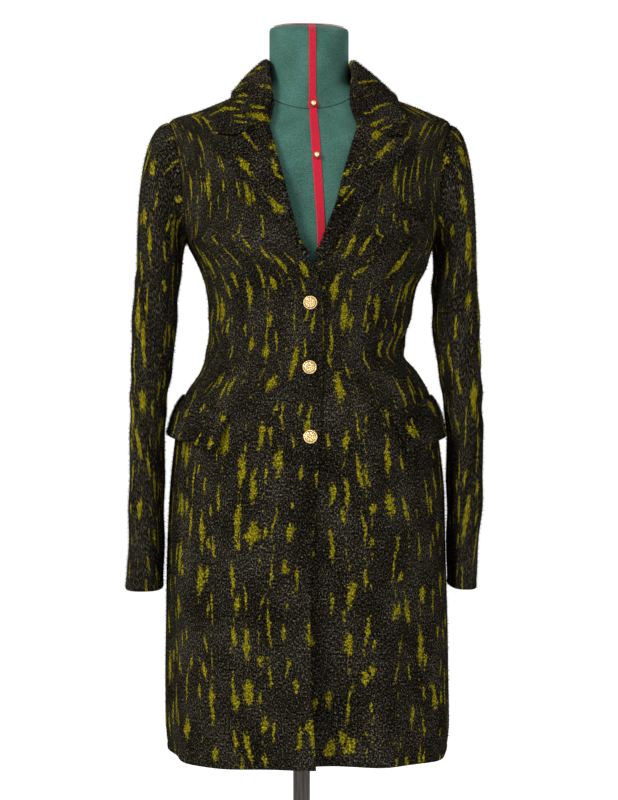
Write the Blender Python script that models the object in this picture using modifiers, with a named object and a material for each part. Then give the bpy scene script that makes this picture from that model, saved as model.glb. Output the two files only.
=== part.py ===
"""Single-breasted wool coat, worn by a limbless dress form on a pole.

Metres, +Z up, the front faces -Y, the wearer's left is +X.  The origin is the middle of the
foot's underside.  Tables are in millimetres.  The cloth's outer face is one smooth surface round
the figure, body_point(angle, height).  Every panel is a window of it, with a wall behind it, and
what lies on a panel is made from its points, moved out.
"""

import math

import bmesh
import bpy
import numpy as np
from mathutils import Vector

MM = 0.001
SEAM = 0.3
CLOTH = 3.0
DOUBLED = 4.0

# Heights above the floor
UNDERARM = 1203.0
SHOULDER_TIP = 1366.0
NECK_SIDE = 1409.0
NECK_BACK = 1424.0
BREAK = 1167.0
CUFF = 745.0
BICEPS = 1168.0
FORM_BOTTOM = 840.0

# The figure stands a little to one side of its pole
FIGURE_SHIFT = 10.0

# Armhole: an ellipse in angle and height on the body's surface
ARMHOLE_FRONT_ANGLE = math.radians(31.0)
ARMHOLE_BACK_ANGLE = math.radians(34.0)
ARMHOLE_STEPS = 10

FRONT_COLUMNS = 9
BACK_COLUMNS = 8

# Lapel and collar
ROLL_REACH = 6.6
ROLL_STEPS = 4
LAPEL_TIP_HEIGHT = 1323.5
ROLL_LIFT = 6.9
LAPEL_REST = 3.2
COLLAR_REST = 4.0
COLLAR_CLEAR = 3.0
COLLAR_SIDE_SHARE = 0.5
COLLAR_TURN_SHARE = 0.06

# Buttons on the right front, through to the left
BUTTON_RADIUS = 9.2
BUTTON_HEIGHTS = (("button_top", 1119.0), ("button_middle", 1036.0), ("button_bottom", 947.0))
BUTTON_LINE = -5.0

# Pocket flaps and breast welt
FLAP_REST = 0.6
WELT_ACROSS = (88.0, 152.0)
WELT_TOP = 1243.0
WELT_WIDTH = 22.0
WELT_THICKNESS = 2.0

# How far the cloth runs out level over the top of each sleeve's head
SLEEVE_HEAD = {-1: 125.0, 1: 105.0}

# Sleeve seams, counted in the armhole's points from its top towards the front
SLEEVE_FRONT_SEAM = 7
SLEEVE_BACK_SEAM = 14
SLEEVE_HEAD_SHARES = (0.0, 0.03, 0.1, 0.22, 0.38, 0.58, 0.8, 1.0)
SLEEVE_ROWS = (1125, 1080, 1035, 990, 940, 880, 815, CUFF)

# Stand
NECK_BASE_SIDE = 70.0
NECK_BASE_FRONT = 65.5
NECK_BASE_BACK = 68.0
NECK_BASE_SQUARE = 0.26
NECK_TOP = 1494.0
NECK_TILT = 0.27
NECK_CROWN = 7.0
FORM_COLUMNS = 44
FORM_ROWS = (FORM_BOTTOM, 880, 925, 965, 1000, 1028, 1050, 1072, 1098, 1130, 1165, 1200, 1240,
             1285, 1325)
TAPE_BOTTOM = 1130.0
NECK_RADIUS = 53.5
POLE_RADIUS = 11.5
FOOT_RADIUS = 190.0
FOOT_HEIGHT = 16.0
TAPE_WIDTH = 8.8
TAPE_THICKNESS = 0.8
PIN_RADIUS = 4.2


class Table:
    """Short table whose named columns are read as smooth curves over its first column."""

    def __init__(self, columns, rows):
        ordered = sorted(rows)
        self.data = {name: np.array([row[i] for row in ordered], float)
                     for i, name in enumerate(columns)}
        self.key = self.data[columns[0]]

    def at(self, name, where):
        """Value of one column: a cubic between rows that never passes beyond them."""
        values = self.data[name]
        gaps = np.diff(self.key)
        rises = np.diff(values) / gaps
        slopes = np.zeros(len(values))
        slopes[0] = rises[0]
        slopes[-1] = rises[-1]
        same = rises[:-1] * rises[1:] > 0
        both = np.where(same, rises[:-1] + rises[1:], 1.0)
        slopes[1:-1] = np.where(same, 2.0 * rises[:-1] * rises[1:] / both, 0.0)
        where = np.clip(np.asarray(where, float), self.key[0], self.key[-1])
        cell = np.clip(np.searchsorted(self.key, where, side="right") - 1, 0, len(gaps) - 1)
        gap = gaps[cell]
        u = (where - self.key[cell]) / gap
        start = values[cell] * (1 + 2 * u) * (1 - u) ** 2 + slopes[cell] * gap * u * (1 - u) ** 2
        end = values[cell + 1] * u * u * (3 - 2 * u) + slopes[cell + 1] * gap * u * u * (u - 1)
        return start + end


# Plan of the cloth at each height: half widths at the wearer's right and left, depths in front
# of and behind the middle, and how square the corners are
BODY = Table(("height", "right", "left", "front", "back", "square"), (
    (1440, 60, 60, 53, 60, 0.00),
    (1424, 62, 62, 53, 62, 0.00),
    (1412, 69, 69, 55, 66, 0.02),
    (1402, 98, 104, 57, 70, 0.05),
    (1392, 122, 134, 60, 73, 0.08),
    (1378, 155, 169, 66, 80, 0.12),
    (1366, 188, 191, 73, 86, 0.18),
    (1335, 189, 188, 92, 98, 0.25),
    (1295, 187, 186, 109, 107, 0.28),
    (1250, 181, 181, 127, 112, 0.24),
    (1206, 165, 168, 139, 110, 0.18),
    (1170, 148, 157, 138, 104, 0.14),
    (1145, 140, 144, 131, 98, 0.12),
    (1110, 136, 137, 119, 88, 0.12),
    (1075, 136, 130, 109, 80, 0.12),
    (1055, 139, 126, 107, 79, 0.12),
    (1033, 146, 145, 109, 84, 0.12),
    (1000, 167, 163, 116, 98, 0.13),
    (970, 176, 170, 122, 112, 0.14),
    (925, 183, 176, 130, 126, 0.15),
    (862, 188, 182, 138, 134, 0.17),
    (746, 191, 184, 146, 139, 0.19),
    (650, 190, 187, 150, 143, 0.20),
    (570, 190, 188, 152, 146, 0.20),
    (528, 187, 184, 153, 148, 0.20),
))

# Across positions of the right front's edge: buttoned edge, then the fold of its lapel
RIGHT_EDGE = Table(("height", "across"), (
    (528, 1), (640, -5), (700, -6), (800, -3), (860, 1), (940, 8), (1000, 11), (1060, 12),
    (1120, 12), (1138, 10), (1152, 4), (BREAK, -2), (1180, -11), (1205, -21), (1240, -30),
    (1270, -37), (1320, -49), (1356, -57), (1400, -61), (NECK_SIDE, -62),
))

# The same for the left front, whose edge lies hidden under the right one
LEFT_EDGE = Table(("height", "across"), (
    (528, -26), (1130, -24), (1150, -16), (BREAK, -1), (1187, 6), (1213, 16), (1245, 28),
    (1284, 38), (1320, 49), (1356, 59), (1400, 61), (NECK_SIDE, 62),
))

# Free edge of a lapel, from the break up to its point
LAPEL_EDGE = Table(("height", "across"), (
    (BREAK, 4), (1184, 19), (1203, 32), (1218, 42), (1231, 51), (1245, 62), (1256, 73),
    (1270, 86), (1284, 98), (1301, 110), (1315, 119), (1326, 123.5),
))

# Collar from the middle of the back (0) to the gorge (1): height of its stand, and the angle and
# height of its outer edge
COLLAR = Table(("share", "stand", "angle", "height"), (
    (0.00, 34, 180, 1389),
    (0.20, 34, 150, 1390),
    (0.36, 34, 120, 1395),
    (0.50, 35, 88, 1402),
    (0.64, 28, 54, 1391),
    (0.78, 16, 36, 1371),
    (0.90, 6, 33.5, 1352),
    (1.00, 0, 34.5, 1338),
))

# Seam between collar and lapel, from the fold (0) to their free edges (1): how far each one's end
# lies below the seam's start; they part at the notch
NOTCH = Table(("share", "collar", "lapel"), (
    (0.00, 0.0, 0.0), (0.25, 7.0, 7.5), (0.50, 14.5, 15.5), (0.60, 16.0, 18.6), (1.00, 14.0, 27.0),
))

# Sleeves below the armhole: inner and outer sides across, front and back in depth
SLEEVE_COLUMNS = ("height", "inner", "outer", "front", "back")
RIGHT_SLEEVE = Table(SLEEVE_COLUMNS, (
    (BICEPS, 171, 231, -74, 72),
    (1143, 174, 234, -74, 70),
    (1103, 177, 236, -73, 66),
    (1035, 184, 238, -73, 58),
    (994, 191, 239, -74, 53),
    (940, 194, 240, -75, 48),
    (880, 194.5, 241, -76, 43),
    (800, 194.5, 242, -76, 37),
    (CUFF, 195.5, 245, -74, 34),
))
LEFT_SLEEVE = Table(SLEEVE_COLUMNS, (
    (BICEPS, 171, 224, -74, 72),
    (1143, 168, 226, -74, 70),
    (1103, 168, 227, -73, 66),
    (1035, 176, 229, -73, 58),
    (994, 182, 230, -74, 53),
    (940, 187, 231, -75, 48),
    (880, 187, 231, -76, 43),
    (800, 187, 225, -76, 37),
    (CUFF, 187, 221, -74, 34),
))

# Hip flap from its front end (0) to its rear end (1): angle and height of its seam, its drop,
# and how far it stands off the skirt halfway down and at its lower edge
FLAP = Table(("share", "angle", "seam", "drop", "middle", "edge"), (
    (0.0, 33.5, 977, 50, 7, 11),
    (0.3, 49, 988, 52, 9, 15),
    (0.6, 68, 996, 53, 9, 14),
    (0.8, 82, 999, 53, 8, 12),
    (1.0, 95, 1001, 53, 8, 12),
))
FLAP_FORWARD = {-1: 0.0, 1: math.radians(2.0)}
FLAP_LEAN = {-1: math.radians(3.0), 1: math.radians(6.0)}
FLAP_SPREAD = {-1: 0.66, 1: 0.58}

# The front tape drifts across as it goes down
TAPE = Table(("height", "across"), ((1130, 9), (1210, 8), (1300, 4), (1380, 2), (1500, 1)))

# Rows of the panels below the armhole
PANEL_ROWS = (528, 585, 645, 705, 765, 822, 875, 920, 955, 985, 1012, 1035, 1055, 1078, 1105,
              1138, BREAK, 1185)
SHOULDER_ROWS = (1377, 1388, 1398, 1404)


def bump(value, middle, width):
    """Soft hill of height 1 round the middle."""
    return np.exp(-((value - middle) / width) ** 2)


def ramp(value, low, high):
    """0 below low, 1 above high, and a soft rise between."""
    u = np.clip((np.asarray(value, float) - low) / (high - low), 0.0, 1.0)
    return u * u * (3 - 2 * u)


def unit(vectors):
    """Vectors at length 1."""
    length = np.linalg.norm(vectors, axis=-1, keepdims=True)
    return vectors / np.maximum(length, 1e-9)


def stack(x, y, z):
    """One array of points from three arrays of coordinates."""
    return np.stack(np.broadcast_arrays(x, y, z), axis=-1).astype(float)


def folds(angle, height):
    """Large soft folds of the worn cloth, outwards from the plan."""
    side = np.abs(angle)
    degrees = np.degrees(angle)
    bust = 7.0 * bump(side, 0.72, 0.30) * bump(height, 1212, 42)
    between = -5.0 * bump(side, 0.0, 0.22) * bump(height, 1215, 45)
    diagonal = height - 1075 - 0.9 * (np.abs(degrees) - 60)
    waist = 3.2 * np.sin(diagonal / 8.5) * bump(height, 1075, 34) * bump(side, 1.15, 0.42)
    skirt_share = 1 - ramp(height, 620, 860)
    skirt = skirt_share * (2.6 * np.sin(7 * angle + 0.6) + 1.7 * np.sin(13 * angle + 2.0))
    blades = 5.0 * bump(side, 2.55, 0.3) * bump(height, 1255, 55)
    seat = 7.0 * bump(side, 2.65, 0.38) * bump(height, 905, 62)
    return bust + between + waist + skirt + blades + seat


def body_point(angle, height, folded=True):
    """Outer face of the cloth; angle 0 is the middle of the front, 90 degrees the left side."""
    angle = np.asarray(angle, float)
    height = np.asarray(height, float)
    sine = np.sin(angle)
    cosine = np.cos(angle)
    width = np.where(sine > 0, BODY.at("left", height), BODY.at("right", height))
    depth = np.where(cosine > 0, BODY.at("front", height), BODY.at("back", height))
    square = BODY.at("square", height)
    out = folds(angle, height) if folded else 0.0
    x = (width + out) * sine * (1 + square * cosine ** 2)
    y = -(depth + out) * cosine * (1 + square * sine ** 2)
    return stack(x, y, height)


def body_normal(angle, height):
    """Outward direction of the cloth's face."""
    turn = 0.004
    lift = 0.5
    across = body_point(angle + turn, height) - body_point(angle - turn, height)
    upward = body_point(angle, height + lift) - body_point(angle, height - lift)
    return unit(np.cross(across, upward))


def angle_at(across, height):
    """Angle on the front whose point lies at this place across."""
    across, height = np.broadcast_arrays(np.asarray(across, float), np.asarray(height, float))
    low = np.full(across.shape, -math.pi / 2)
    high = np.full(across.shape, math.pi / 2)
    for _ in range(40):
        middle = (low + high) / 2
        right_of = body_point(middle, height)[..., 0] < across
        low = np.where(right_of, middle, low)
        high = np.where(right_of, high, middle)
    return (low + high) / 2


def armhole_row(step):
    """Height of one of the armhole's points, counted from the underarm."""
    middle = (UNDERARM + SHOULDER_TIP) / 2
    reach = (SHOULDER_TIP - UNDERARM) / 2
    return middle - reach * np.cos(math.pi * step / ARMHOLE_STEPS)


def gorge_height():
    """Height where collar and lapel meet at the fold."""
    return armhole_row(ARMHOLE_STEPS - 2)


def armhole_opening(height, angle_reach):
    """How far the armhole eats into a panel at this height, as an angle."""
    middle = (UNDERARM + SHOULDER_TIP) / 2
    reach = (SHOULDER_TIP - UNDERARM) / 2
    share = np.clip(1 - ((height - middle) / reach) ** 2, 0, 1)
    return angle_reach * np.sqrt(share)


def panel_heights():
    """Rows that fronts and backs share, so their seams match."""
    armhole = [armhole_row(step) for step in range(ARMHOLE_STEPS + 1)]
    return np.array(list(PANEL_ROWS) + armhole + list(SHOULDER_ROWS) + [NECK_SIDE], float)


def front_sides(height, edge, side):
    """First and last angle of a front at each height; side is -1 right, 1 left."""
    across = edge.at("across", height)
    roll = ramp(height, BREAK, BREAK + 25) * ROLL_REACH
    first = angle_at(across + side * roll, height)
    last = math.pi / 2 - armhole_opening(height, ARMHOLE_FRONT_ANGLE) - SEAM / 2 / 110.0
    return first, side * last


def overlap_step(angle, height):
    """How far the left front lies behind the right one near the buttoned edge."""
    across = body_point(angle, height)[..., 0]
    closed = 1 - ramp(height, BREAK - 8, BREAK + 22)
    near = 1 - ramp(across, 18, 50)
    hem_fold = 24.0 * (1 - ramp(height, 540, 900)) * (1 - ramp(across, 25, 95))
    return (CLOTH + 1.0) * closed * near + hem_fold


def wall(name, outer, inner, material):
    """Closed cloth wall between two grids of points of one size, in millimetres."""
    rows, columns = outer.shape[:2]
    points = np.concatenate((outer.reshape(-1, 3), inner.reshape(-1, 3))) * MM
    shift = rows * columns
    mesh = bmesh.new()
    verts = [mesh.verts.new(point) for point in points]

    def quad(a, b, c, d):
        mesh.faces.new((verts[a], verts[b], verts[c], verts[d]))

    for row in range(rows - 1):
        for column in range(columns - 1):
            corner = row * columns + column
            quad(corner, corner + 1, corner + columns + 1, corner + columns)
            quad(corner + shift, corner + columns + shift, corner + columns + 1 + shift,
                 corner + 1 + shift)
    rim = list(range(columns))
    rim += [row * columns + columns - 1 for row in range(1, rows)]
    rim += [(rows - 1) * columns + column for column in range(columns - 2, -1, -1)]
    rim += [row * columns for row in range(rows - 2, 0, -1)]
    for here, there in zip(rim, rim[1:] + rim[:1]):
        quad(there, here, here + shift, there + shift)
    bmesh.ops.recalc_face_normals(mesh, faces=mesh.faces)
    return finish(name, mesh, material)


def finish(name, mesh, material, smooth=True):
    """Object of its own in the coat's collection from a bmesh."""
    data = bpy.data.meshes.new(name)
    mesh.to_mesh(data)
    mesh.free()
    if smooth:
        data.shade_smooth()
    data.materials.append(material)
    piece = bpy.data.objects.new(name, data)
    PIECES.objects.link(piece)
    piece.parent = FIGURE
    return piece


def coloured(name, colour, roughness, metallic=0.0):
    """Plain material of one colour."""
    material = bpy.data.materials.new(name)
    material.use_nodes = True
    shader = material.node_tree.nodes["Principled BSDF"]
    shader.inputs["Base Color"].default_value = (*colour, 1.0)
    shader.inputs["Roughness"].default_value = roughness
    shader.inputs["Metallic"].default_value = metallic
    material.diffuse_color = (*colour, 1.0)
    return material


def front(name, edge, side):
    """One front, from its buttoned edge and lapel fold to the side seam, armhole and shoulder."""
    heights = panel_heights()
    first, last = front_sides(heights, edge, side)
    shares = np.linspace(0, 1, FRONT_COLUMNS + 1)
    angle = first[:, None] + (last - first)[:, None] * shares[None, :]
    height = np.repeat(heights[:, None], len(shares), axis=1)
    outer = body_point(angle, height)
    normal = body_normal(angle, height)
    if side > 0:
        outer = outer - normal * overlap_step(angle, height)[..., None]
    wall(name, outer, outer - normal * CLOTH, MELTON)


def back(name, side):
    """One half of the back, from the middle seam to the side seam, armhole and shoulder."""
    heights = panel_heights()
    shares = np.linspace(0, 1, BACK_COLUMNS + 1)
    opening = armhole_opening(heights, ARMHOLE_BACK_ANGLE)
    first = np.full(heights.shape, math.pi - SEAM / 2 / 140.0)
    last = math.pi / 2 + opening + SEAM / 2 / 110.0
    angle = first[:, None] + (last - first)[:, None] * shares[None, :]
    rise = back_rise(angle) * ramp(heights, SHOULDER_TIP - 20, NECK_SIDE)[:, None]
    height = heights[:, None] + rise
    outer = body_point(side * angle, height)
    normal = body_normal(side * angle, height)
    wall(name, outer, outer - normal * CLOTH, MELTON)


def back_rise(angle):
    """How much higher the neck seam runs behind than at the side of the neck."""
    return (NECK_BACK - NECK_SIDE) * np.cos(np.clip(angle, math.pi / 2, math.pi)) ** 2


def roll_frame(height, edge, side):
    """Point where a lapel leaves its front, the way it leaves, and the outward direction."""
    def place(at):
        across = edge.at("across", at)
        roll = ramp(at, BREAK, BREAK + 25) * ROLL_REACH
        return angle_at(across + side * roll, at)

    height = np.asarray(height, float)
    angle = place(height)
    base = body_point(angle, height)
    normal = body_normal(angle, height)
    if side > 0:
        base = base - normal * overlap_step(angle, height)[..., None]
    along = unit(body_point(place(height + 1.0), height + 1.0)
                 - body_point(place(height - 1.0), height - 1.0))
    away = unit(np.cross(along, normal)) * -side
    return base, away, normal


def rolled(base, away, normal, stand, start):
    """Half turn of cloth from a seam over a fold: a list of rows, seam first."""
    middle = base - normal * CLOTH / 2
    rows = []
    for share in np.linspace(0, 1, start):
        rows.append(middle + away * (SEAM + (stand[:, None] + 1.0) * share))
    for step in range(1, ROLL_STEPS + 1):
        turn = math.pi * step / ROLL_STEPS
        radius = (CLOTH + DOUBLED) / 4 + 1.7
        lift = radius * (1 - math.cos(turn))
        reach = radius * math.sin(turn)
        rows.append(middle + away * (SEAM + 1.0 + stand[:, None] + reach) + normal * lift)
    return rows


def thickened(name, middle, thickness, material):
    """Wall of even thickness about a smooth grid of points."""
    along = np.gradient(middle, axis=0)
    across = np.gradient(middle, axis=1)
    normal = unit(np.cross(along, across))
    half = np.asarray(thickness)[..., None] / 2
    wall(name, middle + normal * half, middle - normal * half, material)


def leaf_point(across, height, out, side):
    """Point of a leaf that lies over a front; out is 0 at its fold and 1 at its free edge."""
    angle = angle_at(across, height)
    flat = body_point(angle, height)
    outward = body_normal(angle, height)
    if side > 0:
        flat = flat - outward * overlap_step(angle, height)[..., None]
    return flat + outward * (LAPEL_REST + (ROLL_LIFT - LAPEL_REST) * (1 - out) ** 1.5)


def lapel(name, edge, side):
    """One lapel: a half turn at the fold, then the leaf that lies over the front."""
    heights = panel_heights()
    inside = heights[(heights > BREAK + 8) & (heights < gorge_height() - 1)]
    fold_height = np.concatenate(([BREAK + 8], inside, [gorge_height()]))
    low = fold_height[0]
    shares = (fold_height - low) / (gorge_height() - low)
    base, away, normal = roll_frame(fold_height, edge, side)
    rows = rolled(base, away, normal, np.zeros(len(shares)), 2)
    edge_height = low + (LAPEL_TIP_HEIGHT - low) * shares
    edge_across = LAPEL_EDGE.at("across", edge_height) + (0.0 if side > 0 else 1.0)
    fold_across = rows[-1][:, 0]
    leaf_columns = 6
    for column in range(1, leaf_columns + 1):
        out = column / leaf_columns
        across = fold_across + (side * edge_across - fold_across) * out
        straight = (edge_height - fold_height) * out
        drop = -NOTCH.at("lapel", out) - (edge_height[-1] - fold_height[-1]) * out
        height = fold_height + straight + drop * shares ** 6
        rows.append(leaf_point(across, height, out, side))
    thickened(name, np.array(rows)[:, ::side], DOUBLED, MELTON)


def neck_path(shares, side):
    """Neck seam from the middle of the back (0) to the gorge (1), as angle and height."""
    edge = RIGHT_EDGE if side < 0 else LEFT_EDGE
    behind = np.minimum(shares / COLLAR_SIDE_SHARE, 1.0)
    beside = np.clip((shares - COLLAR_SIDE_SHARE) / COLLAR_TURN_SHARE, 0.0, 1.0)
    before = COLLAR_SIDE_SHARE + COLLAR_TURN_SHARE
    before = np.maximum((shares - before) / (1 - before), 0.0)
    height = NECK_SIDE + (gorge_height() + 1.0 - NECK_SIDE) * before
    across = side * angle_at(edge.at("across", height) + side * ROLL_REACH, height)
    angle = math.pi - behind * math.pi / 2
    angle = angle - beside * (math.pi / 2 - across)
    return side * angle, height + back_rise(np.maximum(angle, math.pi / 2))


def neck_shares():
    """Shares of the neck seam that meet the corners of backs and fronts."""
    behind = np.linspace(0, COLLAR_SIDE_SHARE, BACK_COLUMNS + 1)
    before = COLLAR_SIDE_SHARE + COLLAR_TURN_SHARE
    beside = COLLAR_SIDE_SHARE + COLLAR_TURN_SHARE * np.array([1.0, 2.0, 3.0]) / 3
    rows = np.array(list(SHOULDER_ROWS[::-1]) + [SHOULDER_TIP, armhole_row(ARMHOLE_STEPS - 1)])
    down = before + (1 - before) * (NECK_SIDE - rows) / (NECK_SIDE - gorge_height() - 1.0)
    return np.concatenate((behind, beside, down, [1.0]))


def collar():
    """Collar: a stand up from the neck seam, a fold, and a fall down to its outer edge."""
    half = neck_shares()
    up = np.array([0.0, 0.0, 1.0])
    sides = []
    for side in (-1, 1):
        edge_table = RIGHT_EDGE if side < 0 else LEFT_EDGE
        angle, height = neck_path(half, side)
        base = body_point(angle, height)
        normal = body_normal(angle, height)
        plain = unit(stack(base[:, 0], base[:, 1], 0 * height))
        front_share = ramp(half, 0.62, 1.0)[:, None]
        _, away_front, normal_front = roll_frame(np.minimum(height, NECK_SIDE), edge_table, side)
        stand = COLLAR.at("stand", half)
        room = np.linalg.norm(base[:, :2], axis=1) - CLOTH - NECK_RADIUS - COLLAR_CLEAR
        lean_in = np.clip(room / (stand + 1.0), 0.0, 0.42)[:, None]
        away = unit(away_front * front_share + (up - plain * lean_in) * (1 - front_share))
        outward = unit(normal_front * front_share + (plain + up * lean_in) * (1 - front_share))
        start = base + (outward - normal * front_share - plain * (1 - front_share)) * CLOTH / 2
        lean = np.linalg.norm(np.cross(away, away_front), axis=1) * ramp(half, 0.5, 0.58)
        start = start + away * (0.55 * DOUBLED * lean)[:, None]
        rows = rolled(start, away, outward, stand, 4)
        edge_angle = side * np.radians(COLLAR.at("angle", half))
        edge_height = COLLAR.at("height", half)
        edge = body_point(edge_angle, edge_height)
        edge = edge + body_normal(edge_angle, edge_height) * COLLAR_REST
        fold = rows[-1]
        for out in (0.2, 0.4, 0.6, 0.8, 1.0):
            belly = 2.5 * math.sin(math.pi * out)
            free = fold + (edge - fold) * out + outward * belly
            across = fold[:, 0] + (edge[:, 0] - fold[:, 0]) * out
            level = gorge_height() + 1.0 - NOTCH.at("collar", out)
            end = leaf_point(across[-1:], np.array([level]), out, side)
            share = ramp(half, 0.84, 1.0)[:, None]
            rows.append(free + (end - free[-1:]) * share)
        sides.append(np.array(rows))
    whole = np.concatenate((sides[0][:, ::-1], sides[1][:, 1:]), axis=1)
    thickened("collar", whole, DOUBLED, MELTON)


def armhole_point(turn, side):
    """Point of the armhole's edge and its outward direction; turn 0 is the top."""
    middle = (UNDERARM + SHOULDER_TIP) / 2
    reach = (SHOULDER_TIP - UNDERARM) / 2
    opening = np.where(np.sin(turn) > 0, ARMHOLE_FRONT_ANGLE, ARMHOLE_BACK_ANGLE)
    angle = math.pi / 2 - opening * np.sin(turn)
    height = middle + reach * np.cos(turn)
    point = body_point(side * angle, height)
    normal = body_normal(side * angle, height)
    return point, normal


def armhole_leave(turn, side):
    """Direction in which the cloth's surface runs on into the armhole."""
    ahead, _ = armhole_point(turn + 0.01, side)
    behind, _ = armhole_point(turn - 0.01, side)
    _, normal = armhole_point(turn, side)
    return unit(np.cross(normal, ahead - behind)) * side


def sleeve_ring(table, turn, height, side):
    """Ring of a hanging sleeve at one height; turn 0 is its outer side, 90 degrees the front."""
    inner = table.at("inner", height)
    outer = table.at("outer", height)
    before = table.at("front", height)
    behind = table.at("back", height)
    square = 0.16
    cosine = np.cos(turn)
    sine = np.sin(turn)
    x = (inner + outer) / 2 + (outer - inner) / 2 * cosine * (1 + square * sine ** 2)
    y = (before + behind) / 2 + (before - behind) / 2 * sine * (1 + square * cosine ** 2)
    return stack(side * x, y, height + 0 * turn)


def sleeve_surface(table, turn, side):
    """Rows of points down a whole sleeve, armhole first, and their directions outwards."""
    seam, body_out = armhole_point(turn, side)
    ring = sleeve_ring(table, turn, BICEPS, side)
    top = (1 + np.cos(turn)) / 2
    leave = armhole_leave(turn, side)
    begin = leave * (26 - 26 * top ** 2)[:, None]
    begin = begin + side * stack(SLEEVE_HEAD[side] * top ** 2 + 30 * np.sin(turn) ** 2, 0 * turn, 0 * turn)
    end = stack(0 * turn, 0 * turn, -40 - 165 * top)
    rows = []
    for u in SLEEVE_HEAD_SHARES:
        rows.append(seam * (2 * u ** 3 - 3 * u * u + 1) + begin * (u ** 3 - 2 * u * u + u)
                    + ring * (3 * u * u - 2 * u ** 3) + end * (u ** 3 - u * u))
    for height in SLEEVE_ROWS:
        rows.append(sleeve_ring(table, turn, height, side))
    return np.array(rows), body_out


def sleeve_part(name, table, side, first, last):
    """One cut piece of a sleeve between two of the armhole's points."""
    steps = 2 * ARMHOLE_STEPS
    gap = SEAM * 1.4 / 60.0
    columns = np.arange(first, last + 1, dtype=float)
    turn = 2 * math.pi * columns / steps
    turn[0] += gap
    turn[-1] -= gap
    middle, body_out = sleeve_surface(table, turn, side)
    ahead, _ = sleeve_surface(table, turn + 0.02, side)
    behind, _ = sleeve_surface(table, turn - 0.02, side)
    down = np.gradient(middle, axis=0)
    outward = unit(np.cross(ahead - behind, down)) * side
    outward[0] = body_out
    middle[0] = middle[0] + armhole_leave(turn, side) * SEAM
    wall(name, middle, middle - outward * CLOTH, MELTON)


def flap(name, side):
    """Hip flap that springs from its seam and stands off the skirt."""
    shares = np.linspace(0, 1, 9)
    falls = np.array([0.0, 0.12, 0.3, 0.55, 0.8, 1.0])
    thickness = DOUBLED - 1.8 * np.clip(1 - falls / 0.3, 0, 1)
    rows = []
    for fall, thick in zip(falls, thickness):
        turn = (FLAP_LEAN[side] * fall - FLAP_FORWARD[side]) * (1 - shares)
        angle = side * (np.radians(FLAP.at("angle", shares)) + turn)
        height = FLAP.at("seam", shares) - FLAP.at("drop", shares) * fall
        middle = FLAP.at("middle", shares)
        edge = FLAP.at("edge", shares)
        off = edge * fall + (4 * middle - 2 * edge) * fall * (1 - fall)
        flat = body_point(angle, height)
        out = body_normal(angle, height)
        if side > 0:
            flat = flat - out * overlap_step(angle, height)[..., None]
        rows.append(flat + out * (FLAP_REST + thick / 2 + off * FLAP_SPREAD[side])[:, None])
    thickened(name, np.array(rows)[:, ::-side], thickness[:, None], MELTON)


def welt():
    """Breast pocket's welt on the left front."""
    shares = np.linspace(0, 1, 7)
    rows = []
    for fall in (0.0, 0.5, 1.0):
        across = WELT_ACROSS[0] + (WELT_ACROSS[1] - WELT_ACROSS[0]) * shares
        height = WELT_TOP + 5.0 * shares - WELT_WIDTH * fall
        angle = angle_at(across, height)
        out = body_normal(angle, height)
        rows.append(body_point(angle, height) + out * (SEAM + 0.5 + WELT_THICKNESS / 2))
    thickened("welt_breast", np.array(rows)[:, ::-1], WELT_THICKNESS, MELTON)


def turned(name, profile, segments, material, place, tilt=None):
    """Solid turned from (radius, height) pairs, top first, with a Screw modifier."""
    mesh = bmesh.new()
    verts = [mesh.verts.new((radius * MM, 0, height * MM)) for radius, height in profile]
    for above, below in zip(verts, verts[1:]):
        mesh.edges.new((above, below))
    piece = finish(name, mesh, material)
    screw = piece.modifiers.new("turn", "SCREW")
    screw.steps = segments
    screw.render_steps = segments
    screw.use_merge_vertices = True
    screw.merge_threshold = 0.00001
    piece.location = [value * MM for value in place]
    if tilt is not None:
        piece.rotation_mode = "QUATERNION"
        piece.rotation_quaternion = tilt
    return piece


def button(name, height, material):
    """Domed metal button on its short shank, proud of the right front."""
    angle = angle_at(BUTTON_LINE, height)
    seat = body_point(angle, height)
    out = body_normal(angle, height)
    radius = BUTTON_RADIUS
    profile = [(0.0, 5.2), (radius * 0.35, 4.9), (radius * 0.68, 4.0), (radius * 0.9, 2.6),
               (radius, 1.2), (radius * 0.9, 0.5), (2.6, 0.5), (2.6, 0.0), (0.0, 0.0)]
    tilt = Vector(out).to_track_quat("Z", "Y")
    turned(name, profile, 20, material, seat + out * (SEAM + 0.2), tilt)


def plan_to_body(x, y):
    """Angle and height of the shoulders' point above or below one place of the plan."""
    low = np.full(x.shape, float(FORM_ROWS[-1]))
    high = np.full(x.shape, 1438.0)
    for _ in range(40):
        middle = (low + high) / 2
        width = np.where(x > 0, BODY.at("left", middle), BODY.at("right", middle))
        depth = np.where(y < 0, BODY.at("front", middle), BODY.at("back", middle))
        angle = np.arctan2(x / width, -y / depth)
        reach = np.linalg.norm(body_point(angle, middle, False)[..., :2], axis=-1)
        inside = np.hypot(x, y) < reach
        low = np.where(inside, middle, low)
        high = np.where(inside, high, middle)
    return angle, middle


def form_inset(angle, height):
    """How far the form lies inside the cloth's outer face."""
    near = CLOTH + 1.0
    waist = 4.5 * (1 - ramp(height, 1225, 1300))
    middle = 8.0 * bump(np.abs(angle), 0.0, 0.45) * (1 - ramp(height, 1240, 1345))
    hem = 4.0 * (1 - ramp(height, 880, 1000))
    shoulder = 2.5 * bump(height, SHOULDER_TIP, 16)
    return near + waist + middle + hem + shoulder


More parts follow.
